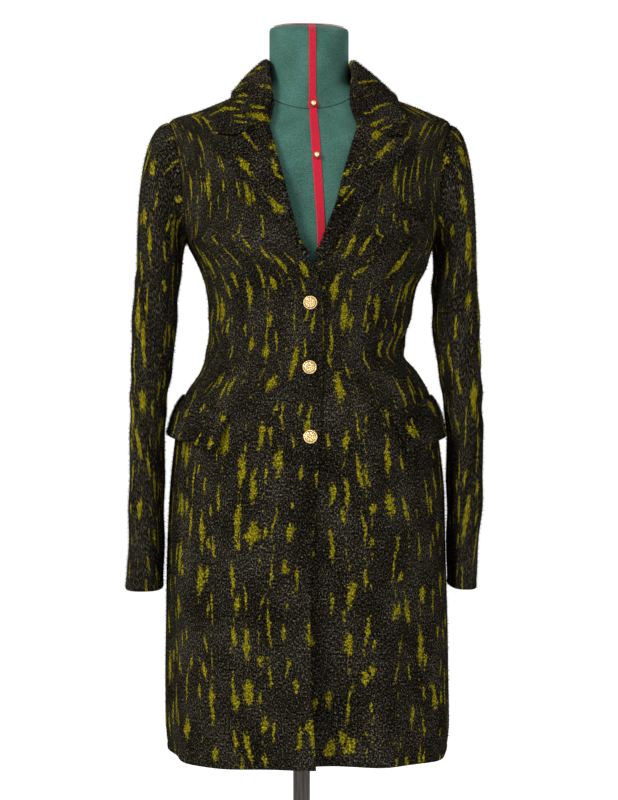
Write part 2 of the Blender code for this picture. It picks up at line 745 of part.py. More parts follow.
def form_point(angle, height):
    """Point of the form's torso and its outward direction."""
    turn = 0.004
    lift = 0.5
    across = body_point(angle + turn, height, False) - body_point(angle - turn, height, False)
    upward = body_point(angle, height + lift, False) - body_point(angle, height - lift, False)
    out = unit(np.cross(across, upward))
    inset = np.asarray(form_inset(angle, height))[..., None]
    bust = np.asarray(3.0 * bump(np.abs(angle), 0.72, 0.34) * bump(height, 1214, 44))[..., None]
    return body_point(angle, height, False) - out * (inset - bust), out


def crown_point(turn, share):
    """Point of the form above the chest: share 0 at its last level ring, 1 at the neck seam."""
    below = body_point(turn, FORM_ROWS[-1], False)
    base = np.where(np.cos(turn) > 0, NECK_BASE_FRONT, NECK_BASE_BACK)
    square = np.where(np.cos(turn) > 0, NECK_BASE_SQUARE, 0.0)
    wide = NECK_BASE_SIDE * np.sin(turn) * (1 + square * np.cos(turn) ** 2)
    deep = base * np.cos(turn) * (1 + square * np.sin(turn) ** 2)
    x = below[..., 0] * (1 - share) + wide * share
    y = below[..., 1] * (1 - share) - deep * share
    angle, height = plan_to_body(x, y)
    return form_point(angle, height)


def form_body(material):
    """Limbless torso, from its flat underside to the neck seam."""
    turn = np.linspace(-math.pi, math.pi, FORM_COLUMNS, endpoint=False) + 0.001
    rings = [form_point(turn, np.full(turn.shape, float(level)))[0] for level in FORM_ROWS]
    rings[0][:, 2] = FORM_BOTTOM
    rings += [crown_point(turn, share)[0] for share in (0.16, 0.34, 0.54, 0.74, 0.88, 1.0)]
    solid_of_rings("form_body", np.array(rings), material)


def neck_points(turn, level):
    """Ring of the neck: level 0 at its seam, 1 at its top edge, up to 2 across the cap."""
    column = stack(NECK_RADIUS * np.sin(turn), -NECK_RADIUS * np.cos(turn), 0 * turn)
    if level <= 1:
        base = crown_point(turn, 1.0)[0]
        top = NECK_TOP + NECK_TILT * column[:, 1]
        height = base[:, 2] + SEAM + (top - base[:, 2] - SEAM) * level
        hold = 1 - (1 - min(1.0, level / 0.22)) ** 2
        ring = base * (1 - hold) + column * hold
        ring[:, 2] = height
        return ring
    share = level - 1
    ring = column * (1 - share)
    ring[:, 2] = NECK_TOP + NECK_TILT * ring[:, 1] + NECK_CROWN * (1 - (1 - share) ** 4)
    return ring


def form_neck(material):
    """Neck of the form with its sloping, rounded cap."""
    angle = np.linspace(-math.pi, math.pi, FORM_COLUMNS, endpoint=False)
    levels = (0.0, 0.12, 0.25, 0.45, 0.7, 0.9, 1.0, 1.05, 1.14, 1.3, 1.6, 1.85)
    rings = np.array([neck_points(angle, level) for level in levels])
    solid_of_rings("form_neck", rings, material)


def solid_of_rings(name, rings, material):
    """Closed solid through a stack of rings, lowest first."""
    rows, columns = rings.shape[:2]
    mesh = bmesh.new()
    verts = [mesh.verts.new(point * MM) for point in rings.reshape(-1, 3)]
    for row in range(rows - 1):
        for column in range(columns):
            beside = (column + 1) % columns
            mesh.faces.new((verts[row * columns + column], verts[row * columns + beside],
                            verts[(row + 1) * columns + beside], verts[(row + 1) * columns + column]))
    for ring in (verts[:columns], verts[-columns:]):
        centre = mesh.verts.new(sum((vert.co for vert in ring), Vector()) / columns)
        for here, there in zip(ring, ring[1:] + ring[:1]):
            mesh.faces.new((here, there, centre))
    bmesh.ops.recalc_face_normals(mesh, faces=mesh.faces)
    return finish(name, mesh, material)


def tape_point(across, level):
    """Point and outward direction on the form's front; level 0 to 1 up the chest, 1 to 3 the neck."""
    if level <= 1:
        seam = crown_point(np.array([0.02]), 1.0)[0][0, 2] + 3.0
        height = TAPE_BOTTOM + (seam - TAPE_BOTTOM) * level
        place = across + TAPE.at("across", height)
        angle = math.asin(place / float(BODY.at("left", height)))
        return form_point(angle, height)
    radius = NECK_RADIUS * min(1.0, 3.0 - level)
    turn = math.asin((across + TAPE.at("across", NECK_SIDE)) / radius)
    return neck_face(turn, level - 1)


def neck_face(turn, level):
    """Point and outward direction on the neck at one angle and level."""
    beside = neck_points(np.array([turn - 0.02, turn, turn + 0.02]), level)
    above = neck_points(np.array([turn]), level + 0.01)
    out = unit(np.cross(beside[2] - beside[0], above[0] - beside[1]))
    return beside[1], out


def tape_front(material):
    """Marking tape down the middle of the form's front, from the cap to inside the coat."""
    levels = [step / 20 for step in range(21)]
    levels += [1.05, 1.15, 1.28, 1.45, 1.7, 1.9, 2.0, 2.05, 2.14, 2.3, 2.5]
    rows = []
    for level in levels:
        line = []
        for across in (-TAPE_WIDTH / 2, 0.0, TAPE_WIDTH / 2):
            point, out = tape_point(across, level)
            line.append(point + out * (SEAM + 0.5 + TAPE_THICKNESS / 2))
        rows.append(line)
    thickened("tape_front", np.array(rows), TAPE_THICKNESS, material)


def tape_neck(material):
    """Second tape, straight across the cap behind the front tape's end."""
    rows = []
    for share in np.linspace(-1, 1, 15):
        x = 47.0 * share
        line = []
        for y in (-1.0, 1.0 + TAPE_WIDTH):
            reach = math.hypot(x, y) / NECK_RADIUS
            level = 2 - reach
            line.append(neck_face(math.atan2(x, -y), level)[0])
        rows.append(line)
    cap = np.array(rows)
    cap[:, :, 2] += SEAM + TAPE_THICKNESS / 2 + 0.25
    thickened("tape_neck", cap[::-1], TAPE_THICKNESS, material)


def pin(name, level, material):
    """Ball head of a pin through the front tape."""
    point, out = tape_point(0.0, level)
    centre = point + out * (SEAM * 3 + TAPE_THICKNESS + PIN_RADIUS)
    mesh = bmesh.new()
    bmesh.ops.create_uvsphere(mesh, u_segments=12, v_segments=8, radius=PIN_RADIUS * MM)
    piece = finish(name, mesh, material)
    piece.location = [value * MM for value in centre]


def pole(material):
    """Wooden pole from the foot up to the form."""
    low = FOOT_HEIGHT + SEAM
    high = FORM_BOTTOM - SEAM
    profile = [(0.0, high), (POLE_RADIUS, high), (POLE_RADIUS, low), (0.0, low)]
    piece = turned("pole", profile, 20, material, (0.0, 0.0, 0.0))
    piece.parent = None


def foot(material):
    """Plain round foot, flat underneath."""
    profile = [(0.0, FOOT_HEIGHT), (60.0, FOOT_HEIGHT), (FOOT_RADIUS - 8, 10.0),
               (FOOT_RADIUS, 6.0), (FOOT_RADIUS, 0.0), (0.0, 0.0)]
    piece = turned("foot", profile, 48, material, (0.0, 0.0, 0.0))
    piece.parent = None


PIECES = None
FIGURE = None
MELTON = None


def set_up():
    """Empty scene with the coat's collection and the point that the figure stands on."""
    global PIECES, FIGURE, MELTON
    for old in list(bpy.data.objects):
        bpy.data.objects.remove(old, do_unlink=True)
    PIECES = bpy.data.collections.new("wool_coat_on_form")
    bpy.context.scene.collection.children.link(PIECES)
    FIGURE = bpy.data.objects.new("figure", None)
    FIGURE.location = (FIGURE_SHIFT * MM, 0.0, 0.0)
    PIECES.objects.link(FIGURE)
    MELTON = coloured("wool", (0.020, 0.018, 0.014), 0.95)


def main():
    """Model every piece."""
    set_up()
    front("front_right", RIGHT_EDGE, -1)
    front("front_left", LEFT_EDGE, 1)
    back("back_right", -1)
    back("back_left", 1)
    lapel("lapel_right", RIGHT_EDGE, -1)
    lapel("lapel_left", LEFT_EDGE, 1)
    collar()
    steps = 2 * ARMHOLE_STEPS
    for label, table, side in (("right", RIGHT_SLEEVE, -1), ("left", LEFT_SLEEVE, 1)):
        sleeve_part("sleeve_top_" + label, table, side, SLEEVE_BACK_SEAM - steps, SLEEVE_FRONT_SEAM)
        sleeve_part("sleeve_under_" + label, table, side, SLEEVE_FRONT_SEAM, SLEEVE_BACK_SEAM)
    flap("flap_right", -1)
    flap("flap_left", 1)
    welt()
    gold = coloured("gilt_metal", (0.80, 0.52, 0.20), 0.28, 1.0)
    for name, height in BUTTON_HEIGHTS:
        button(name, height, gold)
    linen = coloured("form_cloth", (0.045, 0.155, 0.125), 0.85)
    tape = coloured("red_tape", (0.72, 0.012, 0.045), 0.6)
    form_body(linen)
    form_neck(linen)
    tape_front(tape)
    tape_neck(tape)
    pin("pin_neck", 1.03, gold)
    pin("pin_chest", 0.72, gold)
    wood = coloured("dark_wood", (0.045, 0.030, 0.022), 0.5)
    pole(wood)
    foot(wood)


main()
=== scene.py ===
"""Looks of a wool coat with broken yellow streaks on a limbless dress form.

The file is laid out as a Blender add-on and run as a script.  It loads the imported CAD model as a
fixed frame, builds a finer piece over each cloth solid from the coat's own sizes, and gives every
surface a node-based material.  Sizes in the tables are in millimetres, everything else in metres.
"""

import math

import bmesh
import bpy
import numpy as np
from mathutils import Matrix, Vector


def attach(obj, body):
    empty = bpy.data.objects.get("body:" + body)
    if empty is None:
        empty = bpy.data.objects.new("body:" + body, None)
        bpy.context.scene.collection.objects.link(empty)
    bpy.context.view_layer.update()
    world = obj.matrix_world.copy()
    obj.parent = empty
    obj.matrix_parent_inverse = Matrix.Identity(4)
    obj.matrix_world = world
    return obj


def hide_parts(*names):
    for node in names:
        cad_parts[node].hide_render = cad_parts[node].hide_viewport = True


bl_info = {
    "name": "Wool coat on a dress form",
    "version": (1, 0, 0),
    "blender": (4, 5, 0),
    "location": "3D View > Sidebar > Coat",
    "description": "Builds a streaked wool coat, the dress form that wears it and their stage",
    "category": "Object",
}

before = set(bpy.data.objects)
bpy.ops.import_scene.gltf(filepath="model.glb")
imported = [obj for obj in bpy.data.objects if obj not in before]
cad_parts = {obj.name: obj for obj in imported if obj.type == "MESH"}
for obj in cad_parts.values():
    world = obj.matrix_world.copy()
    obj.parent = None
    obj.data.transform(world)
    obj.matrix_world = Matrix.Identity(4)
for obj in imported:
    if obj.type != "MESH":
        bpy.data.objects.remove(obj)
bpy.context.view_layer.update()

MM = 0.001
SEAM = 0.3
CLOTH = 3.0
DOUBLED = 4.0

# Heights above the floor
HEM = 528.0
UNDERARM = 1203.0
SHOULDER_TIP = 1366.0
NECK_SIDE = 1409.0
NECK_BACK = 1424.0
BREAK = 1167.0
CUFF = 745.0
BICEPS = 1168.0
FORM_BOTTOM = 840.0

# The figure stands a little to one side of its pole
FIGURE_SHIFT = 10.0

ARMHOLE_FRONT_ANGLE = math.radians(31.0)
ARMHOLE_BACK_ANGLE = math.radians(34.0)
GORGE = (UNDERARM + SHOULDER_TIP) / 2 + (SHOULDER_TIP - UNDERARM) / 2 * math.cos(math.pi * 0.2)

ROLL_REACH = 6.6
ROLL_LIFT = 6.9
LAPEL_REST = 3.2
LAPEL_TIP_HEIGHT = 1323.5
COLLAR_REST = 4.0
COLLAR_CLEAR = 3.0
COLLAR_SIDE_SHARE = 0.5
COLLAR_TURN_SHARE = 0.06

BUTTON_HEIGHTS = (("button_top", 1119.0), ("button_middle", 1036.0), ("button_bottom", 947.0))
BUTTON_LINE = -5.0
FLAP_REST = 0.6
FLAP_FORWARD = {-1: 0.0, 1: math.radians(2.0)}
FLAP_LEAN = {-1: math.radians(3.0), 1: math.radians(6.0)}
FLAP_SPREAD = {-1: 0.66, 1: 0.58}
SLEEVE_HEAD = {-1: 125.0, 1: 105.0}
WELT_ACROSS = (88.0, 152.0)
WELT_TOP = 1243.0
WELT_WIDTH = 22.0
WELT_THICKNESS = 2.0

NECK_BASE_SIDE = 70.0
NECK_BASE_FRONT = 65.5
NECK_BASE_BACK = 68.0
NECK_BASE_SQUARE = 0.26
NECK_TOP = 1494.0
NECK_TILT = 0.27
NECK_CROWN = 7.0
NECK_RADIUS = 53.5
CHEST = 1325.0
POLE_RADIUS = 11.5
FOOT_RADIUS = 190.0
FOOT_HEIGHT = 16.0
TAPE_WIDTH = 8.8
TAPE_THICKNESS = 0.8
TAPE_BOTTOM = 1130.0
PIN_RADIUS = 4.2
PIN_LEVELS = (("pin_neck", 1.03), ("pin_chest", 0.72))


class Table:
    """Short table whose named columns are read as smooth curves over its first column."""

    def __init__(self, columns, rows):
        ordered = sorted(rows)
        self.data = {name: np.array([row[i] for row in ordered], float)
                     for i, name in enumerate(columns)}
        self.key = self.data[columns[0]]

    def at(self, name, where):
        """Value of one column: a cubic between rows that never passes beyond them."""
        values = self.data[name]
        gaps = np.diff(self.key)
        rises = np.diff(values) / gaps
        slopes = np.zeros(len(values))
        slopes[0] = rises[0]
        slopes[-1] = rises[-1]
        same = rises[:-1] * rises[1:] > 0
        both = np.where(same, rises[:-1] + rises[1:], 1.0)
        slopes[1:-1] = np.where(same, 2.0 * rises[:-1] * rises[1:] / both, 0.0)
        where = np.clip(np.asarray(where, float), self.key[0], self.key[-1])
        cell = np.clip(np.searchsorted(self.key, where, side="right") - 1, 0, len(gaps) - 1)
        gap = gaps[cell]
        u = (where - self.key[cell]) / gap
        start = values[cell] * (1 + 2 * u) * (1 - u) ** 2 + slopes[cell] * gap * u * (1 - u) ** 2
        end = values[cell + 1] * u * u * (3 - 2 * u) + slopes[cell + 1] * gap * u * u * (u - 1)
        return start + end


# Plan of the cloth at each height: half widths at the wearer's right and left, depths in front
# of and behind the middle, and how square the corners are
BODY = Table(("height", "right", "left", "front", "back", "square"), (
    (1440, 60, 60, 53, 60, 0.00),
    (1424, 62, 62, 53, 62, 0.00),
    (1412, 69, 69, 55, 66, 0.02),
    (1402, 98, 104, 57, 70, 0.05),
    (1392, 122, 134, 60, 73, 0.08),
    (1378, 155, 169, 66, 80, 0.12),
    (1366, 188, 191, 73, 86, 0.18),
    (1335, 189, 188, 92, 98, 0.25),
    (1295, 187, 186, 109, 107, 0.28),
    (1250, 181, 181, 127, 112, 0.24),
    (1206, 165, 168, 139, 110, 0.18),
    (1170, 148, 157, 138, 104, 0.14),
    (1145, 140, 144, 131, 98, 0.12),
    (1110, 136, 137, 119, 88, 0.12),
    (1075, 136, 130, 109, 80, 0.12),
    (1055, 139, 126, 107, 79, 0.12),
    (1033, 146, 145, 109, 84, 0.12),
    (1000, 167, 163, 116, 98, 0.13),
    (970, 176, 170, 122, 112, 0.14),
    (925, 183, 176, 130, 126, 0.15),
    (862, 188, 182, 138, 134, 0.17),
    (746, 191, 184, 146, 139, 0.19),
    (650, 190, 187, 150, 143, 0.20),
    (570, 190, 188, 152, 146, 0.20),
    (528, 187, 184, 153, 148, 0.20),
))

# Across positions of the right front's edge: buttoned edge, then the fold of its lapel
RIGHT_EDGE = Table(("height", "across"), (
    (528, 1), (640, -5), (700, -6), (800, -3), (860, 1), (940, 8), (1000, 11), (1060, 12),
    (1120, 12), (1138, 10), (1152, 4), (BREAK, -2), (1180, -11), (1205, -21), (1240, -30),
    (1270, -37), (1320, -49), (1356, -57), (1400, -61), (NECK_SIDE, -62),
))

# The same for the left front, whose edge lies hidden under the right one
LEFT_EDGE = Table(("height", "across"), (
    (528, -26), (1130, -24), (1150, -16), (BREAK, -1), (1187, 6), (1213, 16), (1245, 28),
    (1284, 38), (1320, 49), (1356, 59), (1400, 61), (NECK_SIDE, 62),
))

# Free edge of a lapel, from the break up to its point
LAPEL_EDGE = Table(("height", "across"), (
    (BREAK, 4), (1184, 19), (1203, 32), (1218, 42), (1231, 51), (1245, 62), (1256, 73),
    (1270, 86), (1284, 98), (1301, 110), (1315, 119), (1326, 123.5),
))

# Collar from the middle of the back (0) to the gorge (1): height of its stand, and the angle and
# height of its outer edge
COLLAR = Table(("share", "stand", "angle", "height"), (
    (0.00, 34, 180, 1389),
    (0.20, 34, 150, 1390),
    (0.36, 34, 120, 1395),
    (0.50, 35, 88, 1402),
    (0.64, 28, 54, 1391),
    (0.78, 16, 36, 1371),
    (0.90, 6, 33.5, 1352),
    (1.00, 0, 34.5, 1338),
))

# Seam between collar and lapel, from the fold (0) to their free edges (1): how far each one's end
# lies below the seam's start; they part at the notch
NOTCH = Table(("share", "collar", "lapel"), (
    (0.00, 0.0, 0.0), (0.25, 7.0, 7.5), (0.50, 14.5, 15.5), (0.60, 16.0, 18.6), (1.00, 14.0, 27.0),
))

# Sleeves below the armhole: inner and outer sides across, front and back in depth
SLEEVE_COLUMNS = ("height", "inner", "outer", "front", "back")
RIGHT_SLEEVE = Table(SLEEVE_COLUMNS, (
    (BICEPS, 171, 231, -74, 72),
    (1143, 174, 234, -74, 70),
    (1103, 177, 236, -73, 66),
    (1035, 184, 238, -73, 58),
    (994, 191, 239, -74, 53),
    (940, 194, 240, -75, 48),
    (880, 194.5, 241, -76, 43),
    (800, 194.5, 242, -76, 37),
    (CUFF, 195.5, 245, -74, 34),
))
LEFT_SLEEVE = Table(SLEEVE_COLUMNS, (
    (BICEPS, 171, 224, -74, 72),
    (1143, 168, 226, -74, 70),
    (1103, 168, 227, -73, 66),
    (1035, 176, 229, -73, 58),
    (994, 182, 230, -74, 53),
    (940, 187, 231, -75, 48),
    (880, 187, 231, -76, 43),
    (800, 187, 225, -76, 37),
    (CUFF, 187, 221, -74, 34),
))

# Hip flap from its front end (0) to its rear end (1): angle and height of its seam, its drop,
# and how far it stands off the skirt halfway down and at its lower edge
FLAP = Table(("share", "angle", "seam", "drop", "middle", "edge"), (
    (0.0, 33.5, 977, 50, 7, 11),
    (0.3, 49, 988, 52, 9, 15),
    (0.6, 68, 996, 53, 9, 14),
    (0.8, 82, 999, 53, 8, 12),
    (1.0, 95, 1001, 53, 8, 12),
))

# The front tape drifts across as it goes down
TAPE = Table(("height", "across"), ((1130, 9), (1210, 8), (1300, 4), (1380, 2), (1500, 1)))

# Rows of a sleeve: shares of its head, then heights below the biceps
SLEEVE_HEAD_SHARES = (0.0, 0.004, 0.011, 0.022, *np.linspace(0.04, 1.0, 40))
SLEEVE_ROWS = (*np.linspace(BICEPS - 5, CUFF + 4, 84), CUFF + 2.0, CUFF + 1.0, CUFF + 0.4, CUFF)
WIDEST_SLEEVE_ROW = 45

# Steps in half a turn of the armhole, and the sleeve's seams in such steps from its top forwards
ARMHOLE_STEPS = 10
SLEEVE_FRONT_SEAM = 7
SLEEVE_BACK_SEAM = 14

ROLL_STEPS = 10
STAND_STEPS = 12

# Where each kind of piece lies in the wool's pattern, so that no two pieces repeat it
FRONT_CLOTH = 20
BACK_CLOTH = 900
LAPEL_CLOTH = 1500
COLLAR_CLOTH = 2300
FLAP_CLOTH = 3100
WELT_CLOTH = 3900
TOP_SLEEVE_CLOTH = 4500
UNDER_SLEEVE_CLOTH = 5700

# Pitches of the form's weave, of its tape's twill and of its old pin holes
WEAVE_PITCH = 0.95
TWILL_PITCH = 0.9
PIN_HOLE_CELL = 23.0
PIN_HOLE_RADIUS = 0.85


def bump(value, middle, width):
    """Soft hill of height 1 round the middle."""
    return np.exp(-((value - middle) / width) ** 2)


def ramp(value, low, high):
    """0 below low, 1 above high, and a soft rise between."""
    u = np.clip((np.asarray(value, float) - low) / (high - low), 0.0, 1.0)
    return u * u * (3 - 2 * u)


def unit(vectors):
    """Vectors at length 1."""
    length = np.linalg.norm(vectors, axis=-1, keepdims=True)
    return vectors / np.maximum(length, 1e-9)


def stack(x, y, z):
    """One array of points from three arrays of coordinates."""
    return np.stack(np.broadcast_arrays(x, y, z), axis=-1).astype(float)


def folds(angle, height):
    """Folds and creases of the worn cloth, outwards from the plan."""
    side = np.abs(angle)
    degrees = np.degrees(angle)
    bust = 7.0 * bump(side, 0.72, 0.30) * bump(height, 1212, 42)
    between = -5.0 * bump(side, 0.0, 0.22) * bump(height, 1215, 45)
    diagonal = height - 1075 - 0.9 * (np.abs(degrees) - 60)
    waist = 3.2 * np.sin(diagonal / 8.5) * bump(height, 1075, 34) * bump(side, 1.15, 0.42)
    skirt_share = 1 - ramp(height, 620, 860)
    skirt = 2.6 * np.sin(7 * angle + 0.6) * skirt_share + 1.7 * np.sin(13 * angle + 2.0) * skirt_share
    blades = 5.0 * bump(side, 2.55, 0.3) * bump(height, 1255, 55)
    seat = 7.0 * bump(side, 2.65, 0.38) * bump(height, 905, 62)
    return bust + between + waist + skirt + blades + seat + creases(angle, height)


def creases(angle, height):
    """Small soft creases that the coat's solids leave out."""
    side = np.abs(angle)
    degrees = np.degrees(angle)
    left = ramp(angle, 0.2, 0.6)
    corner = (height - 1082 + 1.15 * (degrees - 62)) / 6.0
    pull = 1.3 * np.sin(corner) * bump(height, 1082, 40) * bump(angle, 0.95, 0.4) * left
    corner = (height - 1070 + 0.5 * (np.abs(degrees) - 60)) / 7.5
    pull = pull + 0.9 * np.sin(corner) * bump(height, 1062, 30) * bump(angle, -1.0, 0.35)
    dart = -1.5 * bump(side, 0.66, 0.035) * ramp(height, 1000, 1060) * (1 - ramp(height, 1130, 1190))
    underarm = (height - 1205 + 55 * (side - 1.2)) / 5.5
    underarm = 1.1 * np.sin(underarm) * bump(height, 1208, 26) * bump(side, 1.35, 0.24)
    chest = (height - 1290 - 30 * (side - 0.8)) / 9.0
    chest = 0.8 * np.sin(chest) * bump(height, 1290, 45) * bump(side, 1.02, 0.2)
    closure = 0.9 * np.sin((height - 1040) / 11.0) * bump(height, 1040, 45) * bump(side, 0.28, 0.2)
    broad = 0.8 * np.sin(3.3 * angle + height / 71.0) * np.sin(height / 57.0 + 0.8)
    broad = broad * (1 - ramp(height, 1330, 1380))
    hip = 1.0 * np.sin((height - 985 + 0.35 * np.abs(degrees)) / 10.0) * bump(height, 1010, 26)
    hip = hip * bump(side, 0.55, 0.3)
    return pull + dart + underarm + chest + closure + broad + hip


def sleeve_creases(turn, height, side):
    """Small soft creases of a hanging sleeve, outwards."""
    elbow = (height - 1000 + 16 * np.cos(turn + 0.6 * side)) / 8.0
    elbow = 1.5 * np.sin(elbow) * bump(height, 1000, 52) * (0.55 + 0.45 * np.sin(turn))
    upper = (height - 1150 - 26 * np.sin(turn)) / 12.0
    upper = 1.2 * np.sin(upper) * bump(height, 1130, 55)
    lower = 0.9 * np.sin((height + 22 * np.cos(turn)) / 15.0) * bump(height, 850, 75)
    length = 0.8 * np.sin(3 * turn + height / 83.0)
    return (elbow + upper + lower + length) * ramp(height, CUFF, CUFF + 40) * (1 - ramp(height, 1150, 1170))


def body_point(angle, height, folded=True):
    """Outer face of the cloth; angle 0 is the middle of the front, 90 degrees the left side."""
    angle = np.asarray(angle, float)
    height = np.asarray(height, float)
    sine = np.sin(angle)
    cosine = np.cos(angle)
    width = np.where(sine > 0, BODY.at("left", height), BODY.at("right", height))
    depth = np.where(cosine > 0, BODY.at("front", height), BODY.at("back", height))
    square = BODY.at("square", height)
    out = folds(angle, height) if folded else 0.0
    x = (width + out) * sine * (1 + square * cosine ** 2)
    y = -(depth + out) * cosine * (1 + square * sine ** 2)
    return stack(x, y, height)


def body_normal(angle, height):
    """Outward direction of the cloth's face."""
    turn = 0.004
    lift = 0.5
    across = body_point(angle + turn, height) - body_point(angle - turn, height)
    upward = body_point(angle, height + lift) - body_point(angle, height - lift)
    return unit(np.cross(across, upward))


def angle_at(across, height):
    """Angle on the front whose point lies at this place across."""
    across, height = np.broadcast_arrays(np.asarray(across, float), np.asarray(height, float))
    low = np.full(across.shape, -math.pi / 2)
    high = np.full(across.shape, math.pi / 2)
    for _ in range(40):
        middle = (low + high) / 2
        right_of = body_point(middle, height)[..., 0] < across
        low = np.where(right_of, middle, low)
        high = np.where(right_of, high, middle)
    return (low + high) / 2


def armhole_opening(height, angle_reach):
    """How far the armhole eats into a panel at this height, as an angle."""
    middle = (UNDERARM + SHOULDER_TIP) / 2
    reach = (SHOULDER_TIP - UNDERARM) / 2
    share = np.clip(1 - ((height - middle) / reach) ** 2, 0, 1)
    return angle_reach * np.sqrt(share)


def front_sides(height, edge, side):
    """First and last angle of a front at each height; side is -1 right, 1 left."""
    across = edge.at("across", height)
    roll = ramp(height, BREAK, BREAK + 25) * ROLL_REACH
    first = angle_at(across + side * roll, height)
    last = math.pi / 2 - armhole_opening(height, ARMHOLE_FRONT_ANGLE) - SEAM / 2 / 110.0
    return first, side * last


def overlap_step(angle, height):
    """How far the left front lies behind the right one near the buttoned edge."""
    across = body_point(angle, height)[..., 0]
    closed = 1 - ramp(height, BREAK - 8, BREAK + 22)
    near = 1 - ramp(across, 18, 50)
    hem_fold = 24.0 * (1 - ramp(height, 540, 900)) * (1 - ramp(across, 25, 95))
    return (CLOTH + 1.0) * closed * near + hem_fold


def on_front(angle, height, side):
    """Point of a front's outer face and its outward direction."""
    point = body_point(angle, height)
    outward = body_normal(angle, height)
    if side > 0:
        point = point - outward * overlap_step(angle, height)[..., None]
    return point, outward


def back_rise(angle):
    """How much higher the neck seam runs behind than at the side of the neck."""
    return (NECK_BACK - NECK_SIDE) * np.cos(np.clip(angle, math.pi / 2, math.pi)) ** 2


def roll_frame(height, edge, side):
    """Point where a lapel leaves its front, the way it leaves, and the outward direction."""
    def place(at):
        across = edge.at("across", at)
        roll = ramp(at, BREAK, BREAK + 25) * ROLL_REACH
        return angle_at(across + side * roll, at)

    height = np.asarray(height, float)
    angle = place(height)
    base, normal = on_front(angle, height, side)
    along = unit(body_point(place(height + 1.0), height + 1.0)
                 - body_point(place(height - 1.0), height - 1.0))
    away = unit(np.cross(along, normal)) * -side
    return base, away, normal


def rolled(base, away, normal, stand, start):
    """Half turn of cloth from a seam over a fold: a list of rows, seam first."""
    middle = base - normal * CLOTH / 2
    rows = []
    for share in np.linspace(0, 1, start):
        rows.append(middle + away * (SEAM + (stand[:, None] + 1.0) * share))
    for step in range(1, ROLL_STEPS + 1):
        turn = math.pi * step / ROLL_STEPS
        radius = (CLOTH + DOUBLED) / 4 + 1.7
        lift = radius * (1 - math.cos(turn))
        reach = radius * math.sin(turn)
        rows.append(middle + away * (SEAM + 1.0 + stand[:, None] + reach) + normal * lift)
    return rows


def leaf_point(across, height, out, side):
    """Point of a leaf that lies over a front; out is 0 at its fold and 1 at its free edge."""
    flat, outward = on_front(angle_at(across, height), height, side)
    return flat + outward * (LAPEL_REST + (ROLL_LIFT - LAPEL_REST) * (1 - out) ** 1.5)


def neck_path(shares, side):
    """Neck seam from the middle of the back (0) to the gorge (1), as angle and height."""
    edge = RIGHT_EDGE if side < 0 else LEFT_EDGE
    behind = np.minimum(shares / COLLAR_SIDE_SHARE, 1.0)
    beside = np.clip((shares - COLLAR_SIDE_SHARE) / COLLAR_TURN_SHARE, 0.0, 1.0)
    before = COLLAR_SIDE_SHARE + COLLAR_TURN_SHARE
    before = np.maximum((shares - before) / (1 - before), 0.0)
    height = NECK_SIDE + (GORGE + 1.0 - NECK_SIDE) * before
    across = side * angle_at(edge.at("across", height) + side * ROLL_REACH, height)
    angle = math.pi - behind * math.pi / 2
    angle = angle - beside * (math.pi / 2 - across)
    return side * angle, height + back_rise(np.maximum(angle, math.pi / 2))


def armhole_point(turn, side):
    """Armhole edge: point, outward direction and the way out of the panel; turn 0 is the top."""
    middle = (UNDERARM + SHOULDER_TIP) / 2
    reach = (SHOULDER_TIP - UNDERARM) / 2
    opening = np.where(np.sin(turn) > 0, ARMHOLE_FRONT_ANGLE, ARMHOLE_BACK_ANGLE)
    angle = math.pi / 2 - opening * np.sin(turn)
    height = middle + reach * np.cos(turn)
    point = body_point(side * angle, height)
    normal = body_normal(side * angle, height)
    return point, normal


def armhole_leave(turn, side):
    """Direction in which the cloth's surface runs on into the armhole."""
    ahead, _ = armhole_point(turn + 0.01, side)
    behind, _ = armhole_point(turn - 0.01, side)
    _, normal = armhole_point(turn, side)
    return unit(np.cross(normal, ahead - behind)) * side


def sleeve_ring(table, turn, height, side):
    """Ring of a hanging sleeve at one height; turn 0 is its outer side, 90 degrees the front."""
    inner = table.at("inner", height)
    outer = table.at("outer", height)
    before = table.at("front", height)
    behind = table.at("back", height)
    square = 0.16
    cosine = np.cos(turn)
    sine = np.sin(turn)
    x = (inner + outer) / 2 + (outer - inner) / 2 * cosine * (1 + square * sine ** 2)
    y = (before + behind) / 2 + (before - behind) / 2 * sine * (1 + square * cosine ** 2)
    return stack(side * x, y, height + 0 * turn)


def sleeve_surface(table, turn, side):
    """Rows of points down a whole sleeve, armhole first, and their directions outwards."""
    seam, body_out = armhole_point(turn, side)
    ring = sleeve_ring(table, turn, BICEPS, side)
    top = (1 + np.cos(turn)) / 2
    leave = armhole_leave(turn, side)
    begin = leave * (26 - 26 * top ** 2)[:, None]
    outwards = SLEEVE_HEAD[side] * top ** 2 + 30 * np.sin(turn) ** 2
    begin = begin + side * stack(outwards, 0 * turn, 0 * turn)
    end = stack(0 * turn, 0 * turn, -40 - 165 * top)
    rows = []
    for u in SLEEVE_HEAD_SHARES:
        rows.append(seam * (2 * u ** 3 - 3 * u * u + 1) + begin * (u ** 3 - 2 * u * u + u)
                    + ring * (3 * u * u - 2 * u ** 3) + end * (u ** 3 - u * u))
    for height in SLEEVE_ROWS:
        rows.append(sleeve_ring(table, turn, height, side))
    return np.array(rows), body_out


def plan_to_body(x, y):
    """Angle and height of the shoulders' point above or below one place of the plan."""
    low = np.full(x.shape, CHEST)
    high = np.full(x.shape, 1438.0)
    for _ in range(40):
        middle = (low + high) / 2
        width = np.where(x > 0, BODY.at("left", middle), BODY.at("right", middle))
        depth = np.where(y < 0, BODY.at("front", middle), BODY.at("back", middle))
        angle = np.arctan2(x / width, -y / depth)
        reach = np.linalg.norm(body_point(angle, middle, False)[..., :2], axis=-1)
        inside = np.hypot(x, y) < reach
        low = np.where(inside, middle, low)
        high = np.where(inside, high, middle)
    return angle, middle


